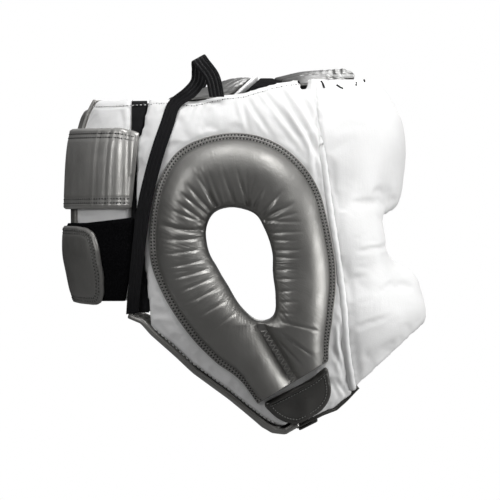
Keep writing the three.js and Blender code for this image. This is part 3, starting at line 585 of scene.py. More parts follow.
def woven(name, colour, pale, scale, ribs=False):
    """Black elastic and web: crossed threads, with pale ribs along the elastic's upper part."""
    material, tree, shader = shader_tree(name)
    surface = add(tree, "ShaderNodeTexCoord").outputs["UV"]

    def wave(direction, size):
        node = add(tree, "ShaderNodeTexWave", {"bands_direction": direction}, Vector=surface, Scale=size)
        return node.outputs["Fac"]

    weave = maths(tree, "MULTIPLY", wave("X", scale), wave("Y", scale))
    height = weave
    tone = ramp(tree, weave, 0.3, 1.0)
    if ribs:
        crest = ramp(tree, wave("Y", 105.0), 0.7, 1.0)
        height = maths(tree, "ADD", weave, maths(tree, "MULTIPLY", crest, 2.5))
        length = add(tree, "ShaderNodeSeparateXYZ", i0=surface).outputs["X"]
        looped = ramp(tree, length, ELASTIC_RIBS_FROM, ELASTIC_RIBS_FROM + 0.02, 0.08, 1.0)
        tone = maths(tree, "MULTIPLY", maths(tree, "MULTIPLY", crest, tone), looped)
    coloured(tree, shader, tone, colour, pale)
    shader.inputs["Roughness"].default_value = 0.8
    shader.inputs["Specular IOR Level"].default_value = 0.25
    tree.links.new(bump(tree, height, 0.0003, 0.8), shader.inputs["Normal"])
    return material


def fuzzy(name, colour, pale):
    """Hook-and-loop tape and suede lining: short matted pile."""
    material, tree, shader = shader_tree(name)
    where = add(tree, "ShaderNodeTexCoord").outputs["Object"]
    pile = noise(tree, where, 900.0, 5.0, 0.7)
    coloured(tree, shader, ramp(tree, pile, 0.45, 0.75), colour, pale)
    shader.inputs["Roughness"].default_value = 0.95
    shader.inputs["Specular IOR Level"].default_value = 0.03
    tree.links.new(bump(tree, pile, 0.0006, 0.8), shader.inputs["Normal"])
    return material


def thread(name, colour, metallic=0.0):
    """Twisted sewing thread."""
    material, tree, shader = shader_tree(name)
    where = add(tree, "ShaderNodeTexCoord").outputs["Object"]
    ply = noise(tree, where, 2200.0, 2.0)
    dark = tuple(channel * 0.7 for channel in colour)
    coloured(tree, shader, ramp(tree, ply, 0.35, 0.65), dark, colour)
    shader.inputs["Roughness"].default_value = 0.55
    shader.inputs["Metallic"].default_value = metallic
    tree.links.new(bump(tree, ply, 0.0002, 0.6), shader.inputs["Normal"])
    return material


# Leathers: darker and lighter colour, roughness, metallic, strength of the wrinkles and coat
white_leather = leather("white leather", (0.78, 0.78, 0.775), (0.86, 0.86, 0.855), 0.46, 0.0, 0.12, 0.08)
silver_leather = leather("silver leather", (0.22, 0.216, 0.205), (0.28, 0.276, 0.264), 0.41, 0.7, 0.3, 0.08)
silver_trim = leather("silver trim", (0.24, 0.235, 0.225), (0.32, 0.315, 0.3), 0.38, 0.7, 0.2, 0.1)
# Upper strap: silver leather made lighter, as painted light.
strap_silver_painted_light = leather("strap silver painted light", (0.4, 0.394, 0.376), (0.48, 0.473, 0.455), 0.38, 0.75, 0.3, 0.1)
# Crown flaps: silver leather made much darker, as painted shade.
flap_silver_painted_shade = leather("crown flap silver painted shade", (0.06, 0.059, 0.056), (0.13, 0.128, 0.123), 0.36, 0.7, 0.3, 0.1)
# Darker silver: the jaw patch's and chin strap's own darker leather, but also painted shade, in part on the
# patch and wholly on the flap's underside and the foot edges.
dark_silver_and_painted_shade = leather("dark silver leather", (0.05, 0.049, 0.046), (0.085, 0.083, 0.078),
                      0.36, 0.6, 0.25, 0.15)

# Webs and tapes have a dark and a pale colour, threads one colour
elastic_web = woven("ribbed elastic", (0.004, 0.004, 0.005), (0.3, 0.3, 0.305), 420.0, ribs=True)
stretch_web = woven("stretch web", (0.004, 0.004, 0.005), (0.015, 0.015, 0.016), 500.0)
loop_tape = fuzzy("loop tape", (0.002, 0.002, 0.0025), (0.012, 0.012, 0.013))
lining = fuzzy("suede lining", (0.006, 0.006, 0.0065), (0.016, 0.016, 0.017))
silver_thread = thread("silver thread", (0.42, 0.41, 0.39), 0.3)
white_thread = thread("white thread", (0.8, 0.8, 0.79))
dark_thread = thread("grey thread", (0.22, 0.22, 0.21))
# Near-black spots of painted shade for the holes the stitches go through.
needle_hole_painted_shade = thread("needle hole painted shade", (0.02, 0.02, 0.02))
lace_braid = thread("lace braid", (0.7, 0.7, 0.69))


def finish_with(piece, *materials):
    piece.data.materials.clear()
    for material in materials:
        piece.data.materials.append(material)


def line_inside(piece, level=0.35):
    """Gives the faces that look in at the hollow the lining, as the second material."""
    mesh = piece.data
    for face in mesh.polygons:
        middle = Vector((face.center.x, face.center.y + 0.01, 0))
        if middle.length > 1e-6 and face.normal.dot(middle.normalized()) < -level:
            face.material_index = 1


def keep(piece, node=None):
    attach(piece, "root")
    if node:
        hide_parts(node)


def keep_both(right, node=None):
    """Keeps a right-hand piece and its mirrored copy."""
    for piece, side in ((right, "right"), (mirrored(right), "left")):
        keep(piece, f"{node}_{side}" if node else None)


def pad_out(piece, sewn, cover, limit):
    """Swells a closed layer, all but its sewn points and its inner face, and lines the inside."""
    held = np.concatenate([np.where(sewn)[0], np.arange(len(sewn), 2 * len(sewn))])
    swell(piece, held, PAD_PRESSURE, PAD_SLACK, limit)
    subdivided(piece)
    finish_with(piece, cover, lining)
    line_inside(piece)


# Stitches

def stitch_tree():
    """Geometry Nodes: short thread stitches and, between them, dark spots of painted shade where the needle
    went through, along a line of points.
    """
    tree = bpy.data.node_groups.new("stitch row", "GeometryNodeTree")
    face = tree.interface
    face.new_socket("Geometry", in_out="INPUT", socket_type="NodeSocketGeometry")
    for name in ("Spacing", "Length", "Thread", "Hole", "Slant"):
        face.new_socket(name, in_out="INPUT", socket_type="NodeSocketFloat")
    for name in ("Thread Finish", "Hole Shade Finish"):
        face.new_socket(name, in_out="INPUT", socket_type="NodeSocketMaterial")
    face.new_socket("Geometry", in_out="OUTPUT", socket_type="NodeSocketGeometry")
    start = add(tree, "NodeGroupInput").outputs
    line = add(tree, "GeometryNodeMeshToCurve", i0=start["Geometry"]).outputs[0]
    half = maths(tree, "MULTIPLY", start["Spacing"], 0.5)
    even = add(tree, "GeometryNodeResampleCurve", {"mode": "LENGTH"}, Curve=line, Length=half).outputs[0]
    points = add(tree, "GeometryNodeCurveToPoints", {"mode": "EVALUATED"}, Curve=even)
    outwards = add(tree, "GeometryNodeInputNamedAttribute", {"data_type": "FLOAT_VECTOR"}, Name="outwards")
    ahead = add(tree, "FunctionNodeAlignRotationToVector", {"axis": "X"}, Vector=points.outputs["Tangent"])
    lifted = add(tree, "FunctionNodeAlignRotationToVector", {"axis": "Z", "pivot_axis": "X"},
                 Rotation=ahead.outputs[0], Vector=outwards.outputs["Attribute"])
    slant = add(tree, "ShaderNodeCombineXYZ", Z=start["Slant"]).outputs[0]
    turned = add(tree, "FunctionNodeRotateRotation", {"rotation_space": "LOCAL"},
                 Rotation=lifted.outputs[0], i1=slant).outputs[0]
    index = add(tree, "GeometryNodeInputIndex").outputs[0]
    odd = maths(tree, "MODULO", index, 2.0)
    bodies = []
    half_length = maths(tree, "MULTIPLY", start["Length"], 0.5)
    even_ones = maths(tree, "SUBTRACT", 1.0, odd)
    for finish, long, wide, chosen in (("Thread Finish", half_length, start["Thread"], even_ones),
                                       ("Hole Shade Finish", start["Hole"], start["Hole"], odd)):
        ball = add(tree, "GeometryNodeMeshUVSphere", Segments=8, Rings=5, Radius=1.0).outputs[0]
        size = add(tree, "ShaderNodeCombineXYZ", X=long, Y=wide, Z=start["Thread"]).outputs[0]
        placed = add(tree, "GeometryNodeInstanceOnPoints", Points=points.outputs["Points"], Selection=chosen,
                     Instance=ball, Rotation=turned, Scale=size).outputs[0]
        real = add(tree, "GeometryNodeRealizeInstances", Geometry=placed).outputs[0]
        bodies.append(add(tree, "GeometryNodeSetMaterial", Geometry=real, Material=start[finish]).outputs[0])
    joined = add(tree, "GeometryNodeJoinGeometry")
    for body in bodies:
        tree.links.new(body, joined.inputs[0])
    end = add(tree, "NodeGroupOutput")
    tree.links.new(joined.outputs[0], end.inputs[0])
    return tree


STITCHES = stitch_tree()


def stitch_rows(name, rows, finish, spacing, length, slant=0.0, hole=0.42, both=True):
    """Stitches along rows of (points, outward directions); the left side gets the same rows mirrored."""
    values = {"Spacing": spacing * MM, "Length": length * MM, "Thread": THREAD * MM, "Hole": hole * MM,
              "Thread Finish": finish, "Hole Shade Finish": needle_hole_painted_shade}
    for side, flip in (("right", 1), ("left", -1)) if both else (("right", 1),):
        points, edges, outwards = [], [], []
        for line, out in rows:
            first = len(points)
            points.extend((line * [flip, 1, 1] * MM).tolist())
            outwards.extend((out * [flip, 1, 1]).tolist())
            edges.extend([(first + i, first + i + 1) for i in range(len(line) - 1)])
        mesh = bpy.data.meshes.new(name)
        mesh.from_pydata(points, edges, [])
        layer = mesh.attributes.new("outwards", "FLOAT_VECTOR", "POINT")
        layer.data.foreach_set("vector", np.array(outwards, np.float32).ravel())
        piece = new_object(f"{name}_{side}" if both else name, mesh)
        modifier = piece.modifiers.new("stitches", "NODES")
        modifier.node_group = STITCHES
        values["Slant"] = slant * flip
        for socket in STITCHES.interface.items_tree:
            if socket.name in values:
                modifier[socket.identifier] = values[socket.name]
        apply_modifiers(piece)
        keep(piece)


def shell_row(bearing, up, outwards):
    """Row of stitches over the shell: points and outward directions."""
    return on_shell(bearing, up, outwards), shell_normal(bearing, up)


def side_row(line, outwards):
    """Row of stitches over the right-hand side, along points of the side view."""
    forward, up = spaced(line, 2.0).T
    return shell_row(bearing_at(forward, up), up, outwards)


# Camera, floor and light

def photo_camera():
    data = bpy.data.cameras.new("photo camera")
    camera = new_object("photo camera", data)
    data.sensor_width = 36
    data.lens = data.sensor_width * CAMERA_DISTANCE / (PHOTO_WIDTH * MM)
    data.clip_end = 60
    camera.location = (SIDE_PLANE - CAMERA_DISTANCE, -PHOTO_MIDDLE_FORWARD * MM, PHOTO_MIDDLE_UP * MM)
    camera.rotation_euler = (math.pi / 2, 0, -math.pi / 2)
    bpy.context.scene.camera = camera


def camera_white(tree, shader, out):
    """White to the camera, the plain shader to everything else."""
    seen = add(tree, "ShaderNodeLightPath").outputs["Is Camera Ray"]
    kind = "ShaderNodeEmission" if out.bl_idname == "ShaderNodeOutputMaterial" else "ShaderNodeBackground"
    plain = add(tree, kind, Color=(1, 1, 1, 1), Strength=1.0)
    both = add(tree, "ShaderNodeMixShader", Fac=seen, i1=shader, i2=plain.outputs[0])
    tree.links.new(both.outputs[0], out.inputs["Surface"])


def pale_floor():
    level = cad_box[0].z - FLOOR_DROP
    corners = [(x * FLOOR_HALF, y * FLOOR_HALF, level) for x, y in ((-1, -1), (1, -1), (1, 1), (-1, 1))]
    mesh = bpy.data.meshes.new("floor")
    mesh.from_pydata(corners, [], [(0, 1, 2, 3)])
    floor = new_object("floor", mesh)
    material, tree, shader = shader_tree("pale floor")
    shader.inputs["Base Color"].default_value = (FLOOR_GREY, FLOOR_GREY, FLOOR_GREY, 1)
    shader.inputs["Roughness"].default_value = 0.9
    camera_white(tree, shader.outputs[0], tree.nodes["Material Output"])
    finish_with(floor, material)


def studio_light():
    world = bpy.data.worlds.new("studio")
    world.use_nodes = True
    bpy.context.scene.world = world
    tree = world.node_tree
    background = tree.nodes["Background"]
    where = add(tree, "ShaderNodeTexCoord").outputs["Generated"]
    height = add(tree, "ShaderNodeSeparateXYZ", i0=where).outputs["Z"]
    sky = two_colours(tree, ramp(tree, height, 0.05, 0.85), (0.008, 0.008, 0.009), (0.95, 0.95, 0.96))
    tree.links.new(sky, background.inputs["Color"])
    background.inputs["Strength"].default_value = SKY_STRENGTH
    camera_white(tree, background.outputs[0], tree.nodes["World Output"])
    middle = Vector((0, 0, PHOTO_MIDDLE_UP * MM))
    for name, spot, size, power in LIGHTS:
        data = bpy.data.lights.new(name, "AREA")
        data.size = size
        data.energy = power
        light = new_object(name, data)
        light.location = spot
        light.rotation_euler = (middle - Vector(spot)).to_track_quat("-Z", "Y").to_euler()
    bpy.context.scene.view_settings.view_transform = "Standard"


photo_camera()
pale_floor()
studio_light()


# Creases in a padded panel: each starts at a place, runs at a turn above forwards, and pulls its leather in.
# Each kind has the height of its lips and where it deepens and ends, in shares of its length.
PLAIN_CREASE = (0.45, -0.08, 0.12, 0.35, 1.0)
GROWING_CREASE = (0.12, -0.1, 0.9, 1.4, 1.8)


def creases(rows, across, along_axis, kind=PLAIN_CREASE):
    """Depth at flat points of creases given as (forward, up, turn, length, width, depth, bend)."""
    lips, deepens, deep, ends, gone = kind
    total = np.zeros(np.shape(across))
    for forward, up, turn, length, width, depth, bend in rows:
        angle = math.radians(turn)
        away_forward = across - forward
        away_up = along_axis - up
        along = away_forward * math.cos(angle) + away_up * math.sin(angle)
        aside = -away_forward * math.sin(angle) + away_up * math.cos(angle)
        aside = aside - bend * (along / length) ** 2
        window = smoothstep(along, deepens * length, deep * length)
        window = window * (1 - smoothstep(along, ends * length, gone * length))
        groove = hill(aside, width) - lips * hill(np.abs(aside) - 2.1 * width, 1.2 * width)
        total += depth * window * groove
    return total


def pillow(distance, radius):
    """How far a padded face drops near its sewn edge."""
    near = np.clip(1 - distance / radius, 0, 1)
    return 1 - np.sqrt(np.maximum(1 - near * near, 0))


# Side panels
RIM_GATHERS = [
    (5.0, -12.0, -78, 34, 1.5, 0.9, 1.0),
    (9.0, -12.0, -58, 42, 1.6, 1.1, 2.0),
    (17.0, -9.5, -52, 26, 1.3, 0.9, 1.5),
    (23.0, -7.5, -50, 66, 1.9, 1.5, -3.0),
    (29.0, -6.0, -54, 24, 1.2, 0.8, 1.0),
    (36.0, -4.5, -57, 92, 2.0, 1.7, -5.0),
    (43.0, -3.5, -60, 30, 1.3, 1.1, 1.0),
    (50.0, -5.0, -56, 34, 1.5, 1.2, -1.0),
    (55.0, -14.0, -66, 40, 1.6, 1.0, 0.0),
    (60.0, -32.0, -82, 60, 1.6, 1.0, 0.0),
    (-30.0, -14.0, -118, 20, 1.2, 0.6, 0.0),
    (-24.0, -13.0, -112, 26, 1.2, 0.7, 0.0),
    (-60.0, -24.0, 25, 26, 1.4, 0.5, 0.0),
]
JAW_GATHERS = [
    (78.0, -178.0, -88, 60, 1.5, 1.1, -1.0),
    (83.0, -190.0, -84, 52, 1.4, 1.0, 1.0),
    (80.0, -214.0, -70, 32, 1.2, 0.9, 0.0),
    (86.0, -205.0, -80, 42, 1.3, 1.0, 0.0),
    (81.0, -236.0, -58, 22, 1.1, 0.8, 0.0),
    (88.0, -226.0, -74, 28, 1.2, 0.8, 0.0),
]

# Ear ring by bearing in the side view, 0 up and 90 forward: hole and outside radius, as shares
RING_MIDDLE = (6.4, -144.0)
RING = [
    (0.459, 0.489), (0.424, 0.47), (0.352, 0.436), (0.305, 0.398), (0.277, 0.361), (0.262, 0.344),
    (0.254, 0.346), (0.263, 0.36), (0.302, 0.388), (0.385, 0.453), (0.5, 0.598), (0.485, 0.64),
    (0.379, 0.447), (0.29, 0.383), (0.238, 0.345), (0.216, 0.323), (0.211, 0.317), (0.217, 0.324),
    (0.24, 0.343), (0.291, 0.364), (0.355, 0.395), (0.435, 0.443), (0.49, 0.486), (0.487, 0.494),
]
PATCH = [(0.079, -0.883), (0.132, -0.858), (0.185, -0.833), (0.225, -0.812), (0.268, -0.776), (0.281, -0.844),
         (0.275, -0.872), (0.258, -0.897), (0.236, -0.913), (0.185, -0.941), (0.149, -0.936), (0.118, -0.921)]
PATCH_TOP_END = 4


def around_rows(column, size):
    step = 360 / len(RING)
    rows = [(i * step, row[column] * size) for i, row in enumerate(RING)]
    before = [(bearing - 360, value) for bearing, value in rows[-2:]]
    after = [(bearing + 360, value) for bearing, value in rows[:3]]
    curve = smooth_rows(before + rows + after)
    return lambda bearing: curve(np.mod(bearing, 360))


hole_radius_at = around_rows(0, EAR_HOLE_HEIGHT)
free_radius_at = around_rows(1, EAR_RING_HEIGHT)


def patch_reach(bearing):
    """Distance along a bearing from the ring's middle to the patch's top edge."""
    outline = side_rows(PATCH)
    rear, front = outline[0], outline[PATCH_TOP_END]
    along = front - rear
    ray = np.stack([np.sin(np.radians(bearing)), np.cos(np.radians(bearing))])
    turn = ray[0] * along[1] - ray[1] * along[0]
    start = rear - np.array(RING_MIDDLE)
    reach = (start[0] * along[1] - start[1] * along[0]) / np.where(turn == 0, 1e-9, turn)
    return np.where(reach > 0, reach, 1e6)


def trim_outside_at(bearing):
    return np.minimum(free_radius_at(bearing), patch_reach(bearing) - 3 * GAP)


def ring_flat(bearing, radius):
    turn = np.radians(bearing)
    return RING_MIDDLE[0] + radius * np.sin(turn), RING_MIDDLE[1] + radius * np.cos(turn)


def ring_place(bearing, radius, outwards):
    forward, up = ring_flat(bearing, radius)
    return on_side(forward, up, 0) - place(-outwards, 0, 0)


def polyline(*parts):
    return np.concatenate([np.asarray(part, float) for part in parts])


def edge_points(level_at, start, stop, lift=0.0, spacing=3.0):
    """Points of the side view along an edge whose level is given, raised by the lift."""
    forwards = np.linspace(start, stop, max(int(abs(stop - start) / spacing), 2))
    return np.stack([forwards, level_at(forwards) + lift], 1)


def seam_points(shift, spacing=4.0):
    top = rim_at(seam_at(SHELL_TOP))
    foot = SEAM[-1][1] * SHELL_HEIGHT
    ups = np.linspace(top, foot, int((top - foot) / spacing))
    line = np.stack([seam_at(ups) + shift, ups], 1)
    line[-1, 1] = lower_edge_at(line[-1, 0])
    return line


BINDING_REAR = -0.314 * SHELL_LENGTH
BINDING_FRONT = 0.19 * SHELL_LENGTH
LACE_HOLE_FORWARD = 57.0
LACE_HOLE_WIDTH = 7.0
LACE_HOLE_DEPTH = 8.0
RIM_STITCH_DROP = 4.2
FOOT_STITCH_RISE = 3.2
PANEL_PUFF = 1.6
PANEL_PUFF_RADIUS = 12.0
GATHER_DEPTH = 1.9
SEWN_DROP = 0.9
ROUND_DROP = 4.0


def side_panel_outline():
    seam = seam_points(-GAP / 2)
    rear_top = rim_at(panel_rear_at(0.0))
    rear = panel_rear_at(rear_top) - rear_lap_at(rear_top)
    radius = LACE_HOLE_WIDTH / 2
    turns = np.linspace(math.pi, 2 * math.pi, 9)
    notch_up = rim_at(LACE_HOLE_FORWARD) - LACE_HOLE_DEPTH + radius
    notch = np.stack([LACE_HOLE_FORWARD + radius * np.cos(turns), notch_up + radius * np.sin(turns)], 1)
    rim_rear = edge_points(rim_at, rear, LACE_HOLE_FORWARD - radius)
    rim_front = edge_points(rim_at, LACE_HOLE_FORWARD + radius, seam[0, 0])
    bare = BINDING_FRONT + GAP
    rear_foot = panel_rear_at(PANEL_FOOT) - rear_lap_at(PANEL_FOOT)
    foot = edge_points(lower_edge_at, seam[-1, 0], bare)[1:]
    bound = edge_points(lower_edge_at, bare, rear_foot, BINDING_HEIGHT + GAP)
    ups = np.linspace(bound[-1, 1], rear_top, 40)[1:-1]
    behind = np.stack([panel_rear_at(ups) - rear_lap_at(ups), ups], 1)
    return polyline(rim_rear, notch, rim_front[:-1], seam, foot, bound, behind)


def panel_stitch_grooves(forward, up):
    """Where the rim's and the foot's stitches pull the side panel in, from 0 to 1."""
    rim_row = hill(rim_at(forward) - up - RIM_STITCH_DROP, 1.0) * (forward < LACE_HOLE_FORWARD)
    foot_rise = up - lower_edge_at(forward) - BINDING_HEIGHT - FOOT_STITCH_RISE
    return rim_row + hill(foot_rise, 1.0) * (forward < BINDING_FRONT)


def panel_stitches():
    rim = edge_points(rim_at, panel_rear_at(-10.0) + 3, LACE_HOLE_FORWARD - 6, -RIM_STITCH_DROP, 2.0)
    stitch_rows("rim_stitches", [side_row(rim, 0.15)], white_thread, 4.2, 2.6, hole=0.5)
    rise = BINDING_HEIGHT + FOOT_STITCH_RISE
    foot = edge_points(lower_edge_at, BINDING_REAR + 22, BINDING_FRONT - 20, rise, 2.0)
    stitch_rows("foot_stitches", [side_row(foot, 0.3)], white_thread, 3.8, 2.2, hole=0.5)


def side_panels():
    bearings = np.linspace(0, 360, 144, endpoint=False)
    outside = trim_outside_at(bearings)
    hole = np.stack(ring_flat(bearings, outside - TRIM_WIDTH + GAP), 1)
    grid = field([side_panel_outline(), hole], 2.2)
    flat, _, _, distance = grid
    forward, up = flat.T
    bearing = bearing_at(forward, up)
    wall = wall_at(bearing, up)
    to_ring = -loop_distance(flat, [np.stack(ring_flat(bearings, outside), 1)])[0]
    free = np.minimum(distance, np.maximum(to_ring, 0))
    from_front = smoothstep(seam_at(up) - forward, 3, 12)
    from_rear = smoothstep(forward - panel_rear_at(up), 3, 12)
    drop = mix(SEWN_DROP, np.minimum(wall * 0.42, ROUND_DROP), np.minimum(from_front, from_rear))
    edge_drop = drop * pillow(distance, drop * 1.1)
    puff = PANEL_PUFF * (1 - pillow(free, PANEL_PUFF_RADIUS)) - PANEL_PUFF / 2 - edge_drop * (to_ring > 2)
    depth = GATHER_DEPTH * (creases(RIM_GATHERS, forward, up) + creases(JAW_GATHERS, forward, up))
    ridge = -0.8 * hill(seam_at(up) - forward - 6.0, 3.0)
    grooves = panel_stitch_grooves(forward, up)
    rise = puff - depth * smoothstep(free, 0.3, 3.5) + ridge - 0.7 * grooves
    outer = on_side(forward, up, 0) + shell_normal(bearing, up) * rise[:, None]
    inner = on_shell(bearing, up, -(wall - edge_drop))
    right = closed_layer("side_panel_cover_right", grid, outer, inner)
    pad_out(right, (free < SEWN_WITHIN) | (grooves > 0.25), white_leather, 2.0)
    keep_both(right, "side_panel")
    panel_stitches()


side_panels()


# Front pad
AROUND = 105.0
EYE_ROLL = 9.6
EYE_ROLL_RADIUS = 16.0
BAR_ROLL = 8.0
BAR_ROLL_RADIUS = 11.0
FACE_FOLDS = [
    (98.0, -134.0, 8, 40, 1.6, 1.2, 1.0),
    (92.0, -126.0, 24, 18, 1.2, 0.7, 0.0),
    (97.0, -146.0, -8, 12, 1.1, 0.5, 0.0),
    (112.0, -168.0, 30, 26, 1.6, 1.0, 3.0),
    (96.0, -194.0, 12, 34, 1.5, 1.0, 4.0),
    (92.0, -178.0, 18, 22, 1.2, 0.5, 3.0),
    (104.0, -176.0, 30, 20, 1.2, 0.5, 2.0),
    (86.0, -106.0, 30, 12, 1.0, 0.4, 0.0),
]


def eye_loop(count=72):
    """Edge of the eye opening, laid flat as (bearing x AROUND, up)."""
    turns = np.linspace(0, 2 * math.pi, count, endpoint=False)
    right = EYE_WIDTH / 2 * np.sign(np.cos(turns)) * np.abs(np.cos(turns)) ** (2 / EYE_ROUNDNESS)
    up = EYE_MIDDLE + EYE_HEIGHT / 2 * np.sign(np.sin(turns)) * np.abs(np.sin(turns)) ** (2 / EYE_ROUNDNESS)
    reach = front_at(up)
    share = np.abs(right / half_width_at(up)) ** SQUARENESS
    forward = reach * (1 - share) ** (1 / SQUARENESS)
    return np.stack([np.arctan2(right, forward) * AROUND, up], 1)


def lower_level_at(bearing):
    """Level of the lower edge where the shell crosses it at a bearing."""
    low = np.full(np.shape(bearing), SHELL_BOTTOM)
    high = np.full(np.shape(bearing), EYE_MIDDLE)
    for _ in range(24):
        middle = (low + high) / 2
        below = middle < lower_edge_at(-shell_point(bearing, middle)[..., 1])
        low = np.where(below, middle, low)
        high = np.where(below, high, middle)
    return high


def front_pad_outline():
    """Outline of the front pad, laid flat as (bearing x AROUND, up)."""
    seam = seam_points(GAP / 2)
    right = np.stack([bearing_at(seam[:, 0], seam[:, 1]) * AROUND, seam[:, 1]], 1)
    bottom_bearing = np.linspace(right[-1, 0], -right[-1, 0], 90)[1:-1] / AROUND
    bottom = np.stack([bottom_bearing * AROUND, lower_level_at(bottom_bearing)], 1)
    left = right[::-1] * [-1, 1]
    top_bearing = np.linspace(left[-1, 0], right[0, 0], 60)[1:-1]
    top = np.stack([top_bearing, np.full(58, rim_at(0.4 * SHELL_LENGTH))], 1)
    return polyline(right, bottom, left, top)


def front_pad():
    eye = eye_loop()
    grid = field([front_pad_outline(), eye], 2.6)
    flat, _, _, distance = grid
    bearing, up = flat[:, 0] / AROUND, flat[:, 1]
    forward = -shell_point(bearing, up)[:, 1]
    wall = wall_at(bearing, up)
    drop = np.minimum(wall * 0.42, 12.0)
    rounded = EYE_ROLL * pillow(-loop_distance(flat, [eye])[0], EYE_ROLL_RADIUS)
    rounded += BAR_ROLL * pillow(up - lower_level_at(bearing), BAR_ROLL_RADIUS)
    beside_seam = forward - seam_at(up)
    free = np.maximum(smoothstep(beside_seam, 3, 12), smoothstep(up, -6, 0))
    rounded += np.minimum(drop, mix(SEWN_DROP, ROUND_DROP, free)) * pillow(distance, 5.0)
    rounded += 0.7 * hill(beside_seam - 5.5, 2.6)
    folds = creases(FACE_FOLDS, forward, up) * smoothstep(distance, 0.5, 5.0)
    outer = on_shell(bearing, up, 0.0) - shell_normal(bearing, up) * (rounded + folds)[:, None]
    inner = on_shell(bearing, up, -(wall - drop * pillow(distance, 12.0) * 0.8))
    pad = closed_layer("front_pad_cover", grid, outer, inner)
    pad_out(pad, distance < SEWN_WITHIN, white_leather, 2.0)
    keep(pad, "front_pad")


front_pad()


# Roll along the front seam: its radius, how deep its middle lies, and the levels between which it sinks
ROLL_RADIUS = 3.2
ROLL_SUNK = -1.9
ROLL_SUNK_AT_TOP = -6.5
ROLL_SINKS = (-58, -26)


def front_seam_rolls():
    """Rolled white leather along the seam between the side panel and the front pad."""
    ups = np.arange(-270.0, 20.0, 2.0)
    line = np.stack([seam_at(ups), ups], 1)
    line = line[(ups < rim_at(line[:, 0]) - 2.5) & (ups > lower_edge_at(line[:, 0]) + 4.0)]
    forward, up = line.T
    drawn = 0.25 * np.sin(up * 0.55) * np.sin(up * 0.17)
    sunk = mix(ROLL_SUNK, ROLL_SUNK_AT_TOP, smoothstep(up, *ROLL_SINKS))
    right = tube("front_seam_roll_right", on_side(forward + drawn, up, sunk), ROLL_RADIUS, 20)
    finish_with(right, white_leather)
    keep_both(right)


front_seam_rolls()


FOOT_EDGE_FRONT = 100.0


def painted_shade_foot_edges():
    """Turned silver edge at the side panel's foot, from the binding's end to just past the front seam, drawn
    dark as painted shade.
    """
    forward = np.linspace(BINDING_FRONT - 2, FOOT_EDGE_FRONT, 40)
    up = lower_edge_at(forward) + 0.5 + 1.4 * smoothstep(forward, FOOT_EDGE_FRONT - 12, FOOT_EDGE_FRONT)
    right = tube("front_foot_edge_right", on_side(forward, up, -1.7), 1.3, 12)
    # Its dark silver is painted shade: this silver edge lies in shadow.
    finish_with(right, dark_silver_and_painted_shade)
    keep_both(right)


painted_shade_foot_edges()


# Lace ends drawn as painted shade in the side view, each from its upper end to its lower one
PAINTED_SHADE_LACE_ENDS = [
    [(69.4, 2.6), (70.6, 0.4), (71.6, -2.6)],
    [(81.6, -0.2), (84.0, -2.0), (86.8, -3.2)],
    [(96.4, 4.6), (97.6, 2.0), (97.2, -0.6)],
    [(103.6, 6.2), (104.2, 4.4), (104.4, 2.6)],
]


def painted_shade_lace_ends(pad):
    """Painted shade: near-black ends of the crown lace, the pale lace seen in shadow where it shows through
    the rim beside the front flap.
    """
    for number, rows in enumerate(PAINTED_SHADE_LACE_ENDS, 1):
        spots = []
        for forward, up in rows:
            start = Vector((-0.4, -forward * MM, up * MM))
            found, spot, _normal, _face = pad.ray_cast(start, Vector((1, 0, 0)))
            if found:
                spots.append(np.array(spot) / MM - (0.3, 0, 0))
        if len(spots) < 2:
            continue
        right = tube(f"crown_lace_end_right_{number}", spaced(spots, 0.6), 0.8, 8)
        # The near-black lining stands for the pale lace in shadow: painted shade.
        finish_with(right, lining)
        keep_both(right)


painted_shade_lace_ends(bpy.data.objects["front_pad_cover"])


